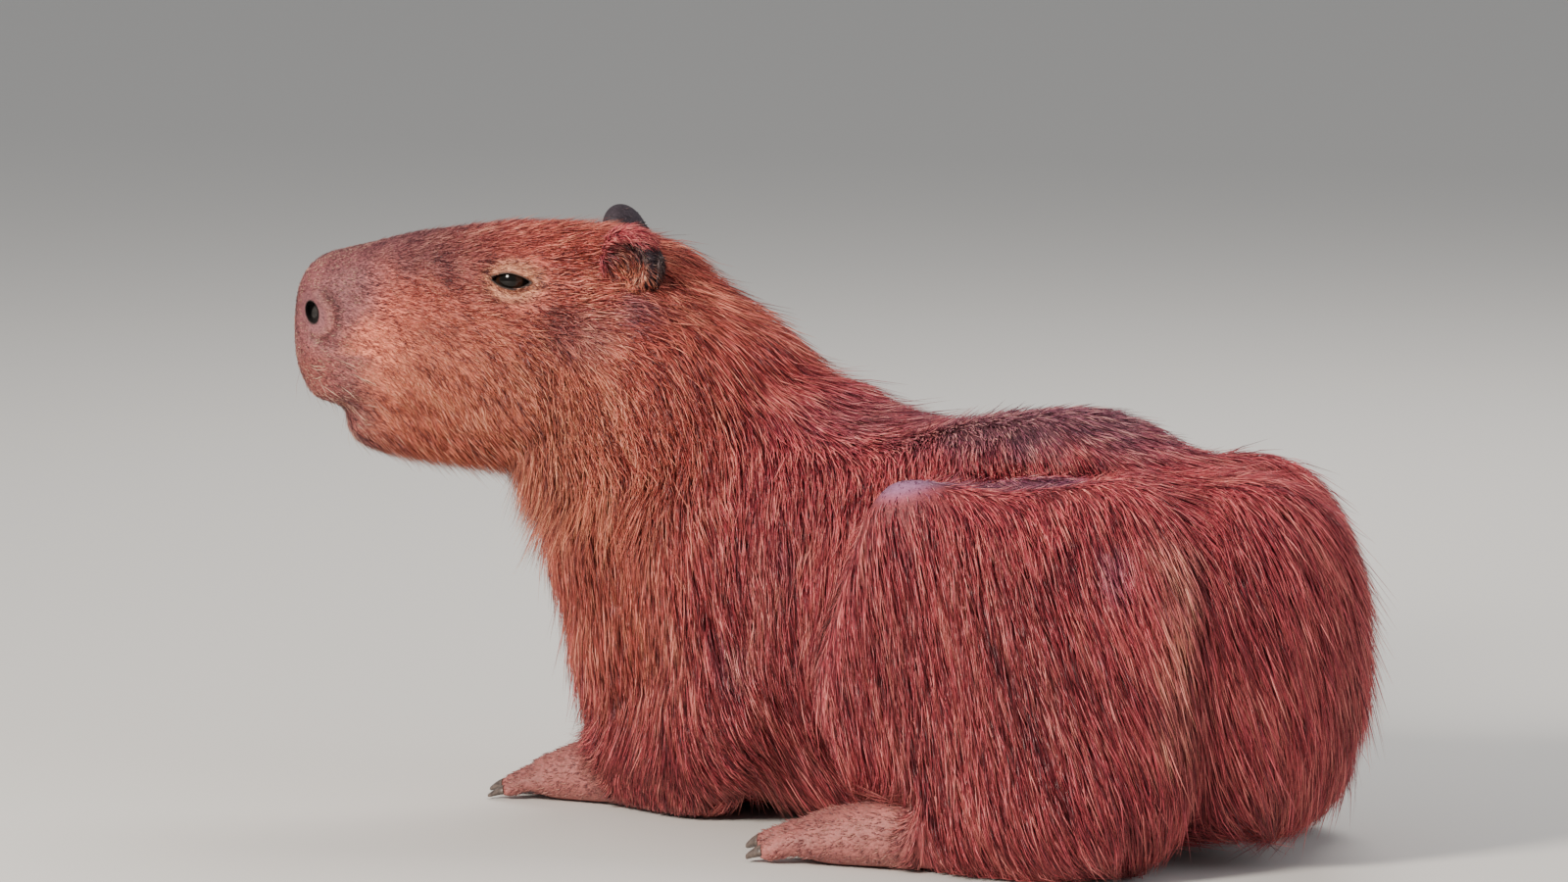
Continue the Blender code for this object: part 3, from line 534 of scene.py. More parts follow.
def sculpt(skin):
    """Insets the skin under the coat and works the lips, nostrils, lids and folds into it."""
    where = coordinates(skin.data)
    facing = normals(skin.data)
    head = head_share(where)
    feet = foot_share(where)
    inset = (SKIN_INSET[0] * (1 - head) + SKIN_INSET[1] * head) * (1 - feet)
    places = in_head(where)
    moved = -inset * ramp(where[:, 2], 0.001, 0.012)
    for path, radius, depth in FACE_STROKES:
        moved = moved + depth * bell(path_distance(places, path), radius)
    for path, radius, depth in body_folds():
        moved = moved + depth * bell(path_distance(where, path), radius)
    where = where + facing * moved[:, None]
    place_vertices(skin.data, where)

    # Nostrils and the gap between the lids are pushed straight in, in the head's own sideways direction
    inward = np.array(HEAD.to_3x3() @ Vector((0.0, 1.0, 0.0)))
    d = where - np.array(NOSE_TIP)
    side = np.sign(d @ inward)
    places = in_head(where)
    deep = 0.011 * ramp(nostril_level(places), 1.0, 0.55)
    deep[(places[:, 0] > 0.06) | (places[:, 1] < 0.01)] = 0.0
    lid = lid_level(places)
    eye = 0.01 * ramp(lid, 1.06, 0.9)
    ridge = 0.0013 * np.exp(-((lid - 1.22) / 0.2) ** 2) * (lid < 3)
    near_eye = (np.abs(places[:, 0] - EYE_CENTRE[0]) < 0.03) & (places[:, 1] > 0.03) & (places[:, 2] > 0.02)
    eye[~near_eye] = 0.0
    ridge[~near_eye] = 0.0
    where = where - inward * (side * (deep + eye - ridge))[:, None]
    place_vertices(skin.data, where)


def nostril_level(places):
    """Below 1 inside the slanted oval of a nostril, seen from the side."""
    x, z = places[:, 0] - NOSTRIL[0], places[:, 2] - NOSTRIL[2]
    c, s = cos(NOSTRIL_LEAN), sin(NOSTRIL_LEAN)
    return np.hypot((x * c + z * s) / NOSTRIL_HALF[0], (z * c - x * s) / NOSTRIL_HALF[1])


def lid_level(places):
    """Below 1 inside the almond-shaped gap between the lids."""
    x = (places[:, 0] - EYE_CENTRE[0]) / LID_OPENING[0]
    z = (places[:, 2] - EYE_CENTRE[2] + 0.0012 * x) / LID_OPENING[1]
    return np.abs(x) ** 1.7 + np.abs(z) ** 1.35


def near_path(points, path, outer, inner, rough=0.0):
    """1 on a path and on its mirror image, 0 beyond the outer distance."""
    left = ramp(path_distance(points, path) + rough, outer, inner)
    return np.maximum(left, ramp(path_distance(points, [across(p) for p in path]) + rough, outer, inner))


def creases(points):
    """The lines where thigh meets belly and knee meets back."""
    thigh = near_path(points, THIGH_EDGE, 0.022, 0.006)
    return np.maximum(thigh, near_path(points, KNEE_CREASE, 0.018, 0.005))


def body_folds():
    """Creases of the body: path in the design frame, radius, depth."""
    folds = []
    for path, radius, depth in BODY_STROKES:
        folds += [(path, radius, depth), ([across(p) for p in path], radius, depth)]
    return folds


def blend(base, other, share):
    return base * (1 - share[:, None]) + other * share[:, None]


def blotches(points, scale, seed):
    """Soft irregular patches between -1 and 1: a few slow waves in fixed directions."""
    draw = np.random.default_rng(seed)
    total = np.zeros(len(points))
    for _ in range(6):
        way = unit(draw.normal(size=(1, 3)))[0]
        total += np.sin(points @ way * (2 * pi / scale) * draw.uniform(0.6, 1.6) + draw.uniform(0, 6.28))
    return total / 3.0


def spot(points, centre, stretch, outer, inner):
    """1 in the middle of a stretched spot and 0 outside it."""
    far = np.linalg.norm((points - np.array(centre)) / np.array(stretch), axis=1)
    return ramp(far, outer, inner)


def markings_with_painted_light(points, roots=None):
    """The coat's colour at design places, with painted shade in the creases and face grooves and painted highlights
    on the haunch ridges and nostril rims, the same for skin and tufts; tufts off the feet stay furry.
    """
    x, y, z = points.T
    h = in_head(points)
    hx, _, hz = h.T
    head = head_share(points)
    rough = blotches(points, 0.03, 8)
    back = ramp(z + 0.006 * rough, 0.262, 0.292) * ramp(x, 0.02, 0.14)
    back = back * ramp(np.abs(y), 0.115, 0.06) * ramp(x, 0.4, 0.3)
    top = ramp(hz + 0.28 * hx + 0.004 * rough, 0.058, 0.086) * ramp(hx, 0.19, 0.07)
    front = ramp(hx + 0.55 * (0.02 - hz) * (hz > -0.01) + 0.005 * rough, 0.072, 0.034)
    lip = ramp(hx + 0.004 * rough, 0.052, 0.02) * ramp(hz, 0.004, -0.02)
    layers = [
        (ORANGE, ramp(x, 0.07, -0.04) * ramp(z, 0.04, 0.14) * 0.6),
        (SPINE_GREY, back * 0.8),
        (CHEEK_TAN, head * ramp(hz, 0.05, -0.02) * ramp(hx, 0.26, 0.2) * 0.75),
        (VIOLET_GREY, head * np.maximum(top, front) * 0.92),
        (SNOUT_PINK, head * lip * 0.9),
        (PALE_RING, head * spot(h, EYE_RING, (1.5, 1.2, 1.0), 0.02, 0.011) * 0.8),
        (VIOLET_GREY, head * spot(h, BELOW_EYE, (1.6, 2.0, 1.0), 0.026, 0.01) * 0.6),
        (SPINE_GREY, head * spot(h, BELOW_EAR, (1.2, 2.0, 1.0), 0.018, 0.006) * 0.6),
        (KNEE_LILAC, knee_share(points) * 0.9),
    ]
    for place, outer, share in BARE_SPOTS:
        for centre in (place, across(place)):
            layers.append((KNEE_LILAC, spot(points, centre, (1.0, 1.0, 1.3), outer, outer * 0.25) * share))
    layers += [
        (KNEE_LILAC, near_path(points, KNEE_EDGE, 0.028, 0.01) * 0.8),
        (STRIPE_TAN, near_path(points, ELBOW_LINE, 0.014, 0.004) * 0.35),
        # The ridge stripe: pale worn hair and a painted highlight on the ridge.
        (STRIPE_TAN, stripe_share(points) * 0.95),
    ]
    tone = np.tile(RED_BROWN, (len(points), 1))
    for shade, share in layers:
        tone = blend(tone, shade, share)
    # Painted shade: the tone is halved along the creases where thigh meets belly and knee meets back.
    tone = tone * (1 - 0.5 * creases(points))[:, None]
    # Painted highlight on the raised rim behind each nostril, and painted shade in the grooves behind and below it.
    ring, *grooves = (path_distance(h, path) for path, _, _ in FACE_STROKES[3:6])
    tone = blend(tone, PALE_RING, head * ramp(ring, 0.0045, 0.002) * 0.08)
    grooves = np.minimum(*grooves)
    tone = tone * (1 - 0.3 * head * ramp(grooves, 0.005, 0.002))[:, None]
    return blend(tone, FOOT_PINK, foot_share(points if roots is None else roots))


def stripe_share(points):
    """The pale stripe down the rear ridge of each haunch: sparser, worn hair and a painted highlight."""
    return near_path(points, RIDGE_STRIPE, 0.022, 0.007, 0.004 * blotches(points, 0.03, 8))


def knee_share(points):
    """The bare patches on the knees."""
    return np.maximum(*(spot(points, knee, (1.3, 1.0, 0.8), 0.036, 0.014) for knee in (KNEE, across(KNEE))))


def coat_length(points):
    x, _, z = points.T
    head = head_share(points)
    h = in_head(points)
    hx, _, hz = h.T
    body = 0.045 + 0.008 * ramp(x, 0.36, 0.47)
    body = body - 0.02 * ramp(z, 0.255, 0.29) * ramp(x, 0.05, 0.14)
    body = body + 0.006 * ramp(x, -0.04, -0.12)
    arm = ramp(z, 0.075, 0.04) * ramp(x, 0.06, 0.0)
    body = body * (1 - 0.55 * arm)
    face = 0.007 + 0.015 * ramp(hx, 0.05, 0.22) + 0.007 * ramp(hz, -0.02, -0.07)
    face = face - 0.0035 * ramp(hx, 0.09, 0.03)
    eye = np.linalg.norm(h - np.array([EYE_CENTRE[0], 0.052, EYE_CENTRE[2]]), axis=1)
    face = face * (0.35 + 0.65 * ramp(eye, 0.014, 0.034))
    length = body * (1 - head) + np.maximum(face, 0.004) * head
    length = length * (1 - 0.85 * knee_share(points)) * (1 - 0.6 * creases(points))
    length = length * (1 - 0.45 * near_path(points, KNEE_EDGE, 0.045, 0.025))
    feet = foot_share(points)
    return length * (1 - feet) + FOOT_HAIR * feet


def flatten(way, facing):
    """Headings turned into the surface, at length one."""
    return unit(way - facing * np.sum(way * facing, axis=1, keepdims=True))


def lie(points, facing):
    """The way the coat lies: backwards and down on the body, back along the face, forwards on the feet."""
    x, y, z = points.T
    turn = HEAD_TURN * ramp(x, 0.09, -0.06)
    back = np.stack([np.cos(turn), np.sin(turn), np.zeros(len(points))], axis=1)
    hx, _, hz = in_head(points).T
    head = head_share(points)[:, None]
    down = np.array([0.0, 0.0, -1.0])
    body_way = back * 0.46 + down
    cheek = (0.12 + 1.2 * ramp(hz, 0.035, -0.05) * ramp(hx, 0.03, 0.1))[:, None]
    face_way = back + down * cheek
    way = body_way * (1 - head) + face_way * head
    arm = (ramp(z, 0.09, 0.045) * ramp(x, 0.04, -0.02) * ramp(np.abs(y), 0.03, 0.06))[:, None]
    way = way * (1 - arm) + np.array([-0.3, 0.0, -1.0]) * arm
    feet = foot_share(points)[:, None]
    return flatten(way * (1 - feet) + np.array([-1.0, 0.0, -0.15]) * feet, facing)


def ear_lie(points, facing, side):
    """On an ear the hairs stream back over its rim, and down in the lower half of its cup."""
    local = in_ear(points, side)
    turn = np.array(ear_place(side).to_3x3())
    low = ramp(local[:, 2], 0.008, -0.01)[:, None]
    way = (turn @ np.array([1.0, 0.0, 0.1])) * (1 - low) + (turn @ np.array([0.55, 0.0, -0.85])) * low
    return flatten(way, facing)


def skin_triangles(mesh):
    mesh.calc_loop_triangles()
    corners = np.empty(len(mesh.loop_triangles) * 3, dtype=np.int32)
    mesh.loop_triangles.foreach_get("vertices", corners)
    return corners.reshape(-1, 3)


def draw_roots(mesh, count, weight, draw):
    """Roots spread over the skin in proportion to area and to weight(places)."""
    corners = skin_triangles(mesh)
    where, facing = coordinates(mesh), normals(mesh)
    a, b, c = where[corners[:, 0]], where[corners[:, 1]], where[corners[:, 2]]
    area = np.linalg.norm(np.cross(b - a, c - a), axis=1) / 2
    share = area * weight((a + b + c) / 3)
    picked = draw.choice(len(corners), size=count, p=share / share.sum())
    u, v = draw.random(count), draw.random(count)
    fold = u + v > 1
    u[fold], v[fold] = 1 - u[fold], 1 - v[fold]
    u, v = u[:, None], v[:, None]
    a, b, c = corners[picked].T
    roots = where[a] * (1 - u - v) + where[b] * u + where[c] * v
    up = unit(facing[a] * (1 - u - v) + facing[b] * u + facing[c] * v)
    return roots, up


def snap(tree, points, facing):
    """Puts points back on the skin and blends its normals in."""
    found = np.empty_like(points)
    turned = np.empty_like(points)
    for i, point in enumerate(points):
        near, normal, _, _ = tree.find_nearest(point)
        found[i] = near
        turned[i] = normal
    return found, unit(facing + turned)


def grow(tree, roots, up, length, lift, sway, clump_size, clump_pull, draw, heading=lie):
    """Stations of each tuft from root to tip: places, normals and headings."""
    count = len(roots)
    jitter = draw.normal(0.0, 1.0, (count, 1))
    places, ups, ways = [roots], [up], [heading(roots, up)]
    for before, after in zip(SHARES[:-1], SHARES[1:]):
        way = heading(places[-1], ups[-1])
        way = unit(way + np.cross(ups[-1], way) * (jitter * sway * (0.5 + after)))
        step, turned = snap(tree, places[-1] + way * (length * (after - before))[:, None], ups[-1])
        places.append(step)
        ups.append(turned)
        ways.append(way)
    raised = [p + u * (lift * s ** 1.25)[:, None] for p, u, s in zip(places, ups, SHARES)]
    if clump_size > 1:
        seeds = draw.choice(count, size=max(1, count // clump_size), replace=False)
        tree_of_seeds = KDTree(len(seeds))
        for i, s in enumerate(seeds):
            tree_of_seeds.insert(roots[s], i)
        tree_of_seeds.balance()
        nearest = np.array([seeds[tree_of_seeds.find(root)[1]] for root in roots])
        pull = clump_pull * draw.uniform(0.3, 1.0, count)
        for k, share in enumerate(SHARES[1:], 1):
            raised[k] = raised[k] + (raised[k][nearest] - raised[k]) * (pull * share)[:, None]
    raised[0] = raised[0] - up * ROOT_SUNK
    for station in raised[1:]:
        station[:, 2] = np.maximum(station[:, 2], FLOOR_GAP)
    return raised, ups, ways


def tuft_mesh(name, stations, ups, ways, widths, tint, pick, patch):
    """Joins closed three-sided tufts into one mesh piece with colours and the OFBake map."""
    count, per = len(stations[0]), len(TUFT_ALONG)
    blocks = []
    for k in range(len(stations) - 1):
        side = unit(np.cross(ways[k], ups[k])) * (widths[:, k] / 2)[:, None]
        rise = ups[k] * (widths[:, k] * 0.45)[:, None]
        blocks += [stations[k] - side, stations[k] + side, stations[k] + rise]
    verts = np.stack([*blocks, stations[-1]], axis=1)
    corner = np.concatenate(TUFT_FACES)
    loops = (corner[None, :] + per * np.arange(count)[:, None]).ravel()
    totals = np.tile([len(face) for face in TUFT_FACES], count)
    mesh = bpy.data.meshes.new(name)
    mesh.vertices.add(count * per)
    mesh.vertices.foreach_set("co", verts.astype(np.float32).ravel())
    mesh.loops.add(len(loops))
    mesh.loops.foreach_set("vertex_index", loops.astype(np.int32))
    mesh.polygons.add(len(totals))
    starts = np.concatenate([[0], np.cumsum(totals)[:-1]])
    mesh.polygons.foreach_set("loop_start", starts.astype(np.int32))
    mesh.polygons.foreach_set("loop_total", totals.astype(np.int32))
    mesh.update(calc_edges=True)
    store_colour(mesh, "tint", np.repeat(tint, per, axis=0))
    store_value(mesh, "along", np.tile(TUFT_ALONG, count))
    store_value(mesh, "pick", np.repeat(pick, per))
    layer = mesh.uv_layers.new(name="OFBake")
    offset = np.stack([TUFT_ALONG, TUFT_LATERAL], axis=1)[corner] * PATCH
    offset[2] -= PATCH / 5
    uv = patch[:, None, :] + offset[None, :, :]
    layer.data.foreach_set("uv", uv.astype(np.float32).ravel())
    obj = bpy.data.objects.new(name, mesh)
    bpy.context.scene.collection.objects.link(obj)
    return obj


def store_colour(mesh, name, values):
    layer = mesh.attributes.new(name, "FLOAT_COLOR", "POINT")
    full = np.concatenate([values, np.ones((len(values), 1))], axis=1)
    layer.data.foreach_set("color", full.astype(np.float32).ravel())


def store_value(mesh, name, values):
    layer = mesh.attributes.new(name, "FLOAT", "POINT")
    layer.data.foreach_set("value", values.astype(np.float32))


# Materials

def new_material(name):
    material = bpy.data.materials.new(name)
    material.use_nodes = True
    return material, material.node_tree.nodes["Principled BSDF"]


def feed(material, node, inputs):
    """Sets a node's inputs to values or joins them to other nodes' outputs."""
    for key, value in inputs.items():
        if isinstance(value, bpy.types.NodeSocket):
            material.node_tree.links.new(value, node.inputs[key])
        else:
            node.inputs[key].default_value = value if isinstance(value, (int, float)) else (*value, 1.0)


def add(material, kind, inputs, **settings):
    node = material.node_tree.nodes.new(kind)
    for key, value in settings.items():
        setattr(node, key, value)
    feed(material, node, inputs)
    return node


def attribute(material, name, output="Fac"):
    return add(material, "ShaderNodeAttribute", {}, attribute_name=name).outputs[output]


def mix_colour(material, kind, share, first, second):
    settings = {"data_type": "RGBA", "blend_type": kind}
    return add(material, "ShaderNodeMix", {0: share, 6: first, 7: second}, **settings).outputs[2]


def multiply(material, first, second):
    return mix_colour(material, "MULTIPLY", 1.0, first, second)


def mix_value(material, share, first, second):
    return add(material, "ShaderNodeMix", {0: share, 2: first, 3: second}).outputs[0]


def stops(material, value, points):
    """A value read through a ramp of colours or greys."""
    node = add(material, "ShaderNodeValToRGB", {0: value})
    elements = node.color_ramp.elements
    while len(elements) < len(points):
        elements.new(0.5)
    for element, (at, shade) in zip(elements, points):
        element.position = at
        element.color = (*shade, 1.0) if isinstance(shade, tuple) else (shade, shade, shade, 1.0)
    return node.outputs["Color"]


def noise(material, vector, scale, detail, roughness=0.5):
    inputs = {"Vector": vector, "Scale": scale, "Detail": detail, "Roughness": roughness}
    return add(material, "ShaderNodeTexNoise", inputs).outputs["Fac"]


def bump(material, height, strength, distance, **inputs):
    inputs.update({"Height": height, "Strength": strength, "Distance": distance})
    return add(material, "ShaderNodeBump", inputs).outputs["Normal"]


def own_places(material):
    return add(material, "ShaderNodeTexCoord", {}).outputs["Object"]


def coat_material():
    """Tufts from violet dark to pale orange, darker at the root as painted shade deep in the coat and lighter at the
    tip.
    """
    look, shader = new_material("bristly_coat")
    tint = attribute(look, "tint", "Color")
    pick = attribute(look, "pick")
    vary = stops(look, pick, [(0.0, (0.2, 0.14, 0.21)), (0.28, (0.5, 0.42, 0.48)), (0.6, (0.95, 0.9, 0.92)),
                              (1.0, (1.1, 1.1, 1.08))])
    gleam = stops(look, pick, [(0.55, 0.0), (0.8, 0.38), (1.0, 0.95)])
    # Painted shade: each tuft darkens towards its root, where the coat lies in shade.
    length = stops(look, attribute(look, "along"), [
        (0.0, (0.22, 0.16, 0.23)), (0.35, (0.64, 0.57, 0.64)), (0.75, (1.0, 0.98, 1.0)), (1.0, (1.22, 1.32, 1.14))])
    pale = add(look, "ShaderNodeGamma", {"Color": tint, "Gamma": 0.55}).outputs["Color"]
    shade = mix_colour(look, "MIX", gleam, multiply(look, tint, vary), multiply(look, pale, (1.1, 1.0, 0.76)))
    shade = multiply(look, shade, length)
    feed(look, shader, {"Base Color": shade, "Roughness": 0.38, "Specular IOR Level": 0.55})
    return look


def skin_material():
    """Streaks of short fur along the lie where the coat is, creased bare skin elsewhere."""
    look, shader = new_material("capybara_skin")
    furred = attribute(look, "furred")
    combs = [noise(look, attribute(look, name, "Vector"), 1500.0, 2.0, 0.6) for name in ("comb_body", "comb_head")]
    streak = mix_value(look, attribute(look, "head"), *combs)
    place = own_places(look)
    grain = noise(look, place, 420.0, 4.0, 0.6)
    cells = add(look, "ShaderNodeTexVoronoi", {"Vector": place, "Scale": 480.0}).outputs["Distance"]
    patch = noise(look, place, 38.0, 5.0, 0.65)

    tone = stops(look, patch, [(0.3, (0.72, 0.7, 0.7)), (0.7, (1.22, 1.18, 1.16))])
    hairs = stops(look, streak, [(0.36, (0.45, 0.4, 0.42)), (0.5, (0.95, 0.92, 0.92)), (0.66, (1.6, 1.8, 1.6))])
    fine = stops(look, grain, [(0.35, (0.8, 0.78, 0.78)), (0.65, (1.12, 1.12, 1.12))])
    shade = multiply(look, attribute(look, "tint", "Color"), tone)
    shade = multiply(look, shade, mix_colour(look, "MIX", furred, fine, hairs))

    normal = bump(look, mix_value(look, furred, cells, streak), 0.55, 0.0009)
    normal = bump(look, grain, 0.4, 0.0012, Normal=normal)
    feed(look, shader, {"Base Color": shade, "Normal": normal, "Roughness": 0.62})
    return look


def eye_material():
    """A dark brown iris round a black pupil, under a wet surface."""
    look, shader = new_material("eye_wet")
    rings = stops(look, attribute(look, "from_pupil"), [
        (0.0, (0.003, 0.002, 0.002)), (0.3, (0.004, 0.003, 0.002)), (0.36, (0.014, 0.006, 0.004)),
        (0.56, (0.028, 0.012, 0.007)), (0.66, (0.007, 0.004, 0.003)), (1.0, (0.014, 0.009, 0.008))])
    feed(look, shader, {"Base Color": rings, "Roughness": 0.09, "IOR": 1.34})
    return look


def claw_material():
    look, shader = new_material("claw_horn")
    streak = noise(look, own_places(look), 300.0, 3.0)
    tone = stops(look, streak, [(0.3, (0.045, 0.033, 0.03)), (0.7, (0.135, 0.1, 0.085))])
    feed(look, shader, {"Base Color": tone, "Normal": bump(look, streak, 0.4, 0.0005), "Roughness": 0.42})
    return look


def ear_place(side):
    lean = Matrix.Rotation(side * radians(-20), 4, "X") @ Matrix.Rotation(radians(14), 4, "Y")
    toe_in = Matrix.Rotation(side * radians(EAR_TOE_IN[side]), 4, "Z")
    return HEAD @ Matrix.Translation(EAR_BASES[side]) @ toe_in @ lean


def in_ear(points, side):
    """Design places in the ear's own frame: fore and aft, outwards, up."""
    back = np.array(ear_place(side).inverted())
    local = points @ back[:3, :3].T + back[:3, 3]
    local[:, 1] *= side
    return local


def build_ear(name, side):
    """A soft rounded ear whose open cup faces outwards."""
    width, depth, height = EAR_HALF
    place = ear_place(side)
    shell = bmesh.new()
    bmesh.ops.create_uvsphere(shell, u_segments=48, v_segments=30, radius=1.0)
    shell.transform(place @ Matrix.Diagonal((width, depth, height, 1.0)))
    ear = mesh_object(name, shell)
    cup = bmesh.new()
    bmesh.ops.create_uvsphere(cup, u_segments=40, v_segments=24, radius=1.0)
    inner = Matrix.Translation((-0.001, side * 0.0085, 0.0025))
    cup.transform(place @ inner @ Matrix.Diagonal((width * 0.8, depth * 1.02, height * 0.8, 1.0)))
    cutter = mesh_object("ear_cup", cup)
    boolean = ear.modifiers.new("cup", "BOOLEAN")
    boolean.operation = "DIFFERENCE"
    boolean.solver = "EXACT"
    boolean.object = cutter
    apply_modifiers(ear)
    bpy.data.objects.remove(cutter, do_unlink=True)
    fuse(ear, 0.001, 10)
    return ear


def ear_tint(points, side):
    """Dark outside and on the rim, brown within the cup."""
    local = in_ear(points, side)
    middle = (local[:, 0] / EAR_HALF[0]) ** 2 + (local[:, 2] / EAR_HALF[2]) ** 2
    inside = ramp(middle, 0.85, 0.45) * ramp(local[:, 1], -0.006, 0.0)
    front = ramp(local[:, 0] - 0.7 * local[:, 2], 0.004, -0.01) * (side < 0)
    tint = np.tile(EAR_DARK, (len(points), 1))
    tint = blend(tint, RED_BROWN * 0.5, front)
    return blend(tint, EAR_INSIDE * 0.6, inside * 0.8)


def build_eye(name, side):
    bm = bmesh.new()
    bmesh.ops.create_uvsphere(bm, u_segments=64, v_segments=40, radius=EYE_RADIUS)
    centre = HEAD @ Vector((EYE_CENTRE[0], side * (EYE_CENTRE[1] - EYE_SUNK), EYE_CENTRE[2]))
    outwards = (HEAD.to_3x3() @ Vector((-0.18, side * 1.0, 0.05))).normalized()
    bm.transform(Matrix.Translation(centre) @ outwards.to_track_quat("Z", "Y").to_matrix().to_4x4())
    eye = mesh_object(name, bm)
    where = coordinates(eye.data) - np.array(centre)
    store_value(eye.data, "from_pupil", np.arccos(np.clip(unit(where) @ np.array(outwards), -1, 1)) / (pi / 2))
    return eye


def claw(name, toe, side):
    """A blunt, hoof-like claw, domed above, flat below and bent down over the toe's tip."""
    _, tip, ahead = toe_chain(toe, side)
    half = toe[3]
    level = Vector((0, 0, 1))
    hinge = ahead.cross(level).normalized()
    along = (Matrix.Rotation(radians(-14), 3, hinge) @ ahead).normalized()
    above = along.cross(hinge).normalized() * -1
    base = tip + along * (half * 0.55 - CLAW_LENGTH * 0.1) + level * half * 0.1
    bm = bmesh.new()
    rings = []
    steps, around = 9, 20
    for i in range(steps):
        t = i / (steps - 1)
        width = half * (0.76 - 0.44 * t ** 1.4)
        rise = half * (0.6 - 0.36 * t ** 1.2)
        centre = base + along * CLAW_LENGTH * t - above * (0.0016 * t * t)
        ring = []
        for j in range(around):
            angle = 2 * pi * j / around
            down = 0.62 if sin(angle) < 0 else 1.0
            place = centre + hinge * width * cos(angle) + above * rise * down * sin(angle)
            ring.append(bm.verts.new(place))
        rings.append(ring)
    for first, second in zip(rings, rings[1:]):
        for j in range(around):
            k = (j + 1) % around
            bm.faces.new((first[j], first[k], second[k], second[j]))
    bm.faces.new(rings[0])
    bm.faces.new(rings[-1])
    made = mesh_object(name, bm)
    for vertex in made.data.vertices:
        vertex.co.z = max(vertex.co.z, 0.0006)
    bevel = made.modifiers.new("soft_edges", "BEVEL")
    bevel.width = 0.0006
    bevel.segments = 2
    apply_modifiers(made)
    return made


def unwrap_places(forms, points):
    """Each point's place on an unwrap of the skin's own shape, made on a coarser copy of it."""
    bm = bmesh.new()
    for form in forms:
        bm.from_mesh(form.data)
    coarse = mesh_object("unwrap_form", bm)
    fuse(coarse, UNWRAP_VOXEL, 0)
    bpy.context.view_layer.objects.active = coarse
    bpy.ops.object.select_all(action="DESELECT")
    coarse.select_set(True)
    bpy.ops.object.mode_set(mode="EDIT")
    bpy.ops.mesh.select_all(action="SELECT")
    bpy.ops.mesh.quads_convert_to_tris()
    bpy.ops.uv.smart_project(angle_limit=radians(66), island_margin=0.006)
    bpy.ops.object.mode_set(mode="OBJECT")
    mesh = coarse.data
    where = [v.co.copy() for v in mesh.vertices]
    faces = [tuple(p.vertices) for p in mesh.polygons]
    tree = BVHTree.FromPolygons(where, faces)
    uv = np.empty(len(mesh.loops) * 2, dtype=np.float32)
    mesh.uv_layers.active.data.foreach_get("uv", uv)
    uv = uv.reshape(-1, 3, 2)
    corners = np.array([[where[i] for i in face] for face in faces])
    picked = np.array([tree.find_nearest(p)[2] for p in points])
    a, b, c = corners[picked, 0], corners[picked, 1], corners[picked, 2]
    v0, v1, v2 = b - a, c - a, points - a
    d00, d01, d11 = (v0 * v0).sum(1), (v0 * v1).sum(1), (v1 * v1).sum(1)
    d20, d21 = (v2 * v0).sum(1), (v2 * v1).sum(1)
    under = np.maximum(d00 * d11 - d01 * d01, 1e-18)
    s = np.clip((d11 * d20 - d01 * d21) / under, 0, 1)
    t = np.clip((d00 * d21 - d01 * d20) / under, 0, 1)
    found = uv[picked, 0] * (1 - s - t)[:, None] + uv[picked, 1] * s[:, None] + uv[picked, 2] * t[:, None]
    bpy.data.objects.remove(coarse, do_unlink=True)
    return found * 0.99 + 0.001


def body_weight(points):
    x, y, z = points.T
    weight = (1 - head_share(points)) * ramp(z, 0.004, 0.012)
    weight = weight * (1 - 0.9 * knee_share(points)) * (1 - 0.9 * foot_share(points))
    weight = weight * (1 - 0.6 * near_path(points, KNEE_EDGE, 0.028, 0.01)) * (1 - 0.4 * stripe_share(points))
    arm = ramp(z, 0.075, 0.04) * ramp(x, 0.06, 0.0)
    under = ramp(z, 0.03, 0.012) * ramp(np.abs(y), 0.1, 0.06)
    return weight * (1 + 0.9 * arm) * (1 - 0.8 * under) + 1e-9


def head_weight(points):
    h = in_head(points)
    hx, hy, _ = h.T
    head = head_share(points)
    weight = head + 0.5 * foot_share(points) + 0.25 * knee_share(points)
    weight = weight * (1 + 1.3 * ramp(hx, 0.14, 0.04) * head)
    weight[(lid_level(h) < 1.3) & (hy > 0.03)] = 0.0
    weight = weight * (1 - ramp(nostril_level(h), 2.4, 1.4) * (hx < 0.05))
    return weight * ramp(points[:, 2], 0.002, 0.006) + 1e-9


def whisker_weight(points):
    hx, _, hz = in_head(points).T
    muzzle = ramp(hx, 0.075, 0.045) * ramp(hz, 0.0, -0.02)
    chin = ramp(hx, 0.16, 0.12) * ramp(hz, -0.06, -0.07)
    return head_share(points) * (muzzle + 0.8 * chin) + 1e-12


def tree_over(forms):
    """One search tree over several surfaces."""
    points, faces = [], []
    for form in forms:
        start = len(points)
        points += [Vector(p) for p in coordinates(form.data)]
        faces += [tuple(start + i for i in p.vertices) for p in form.data.polygons]
    return BVHTree.FromPolygons(points, faces)


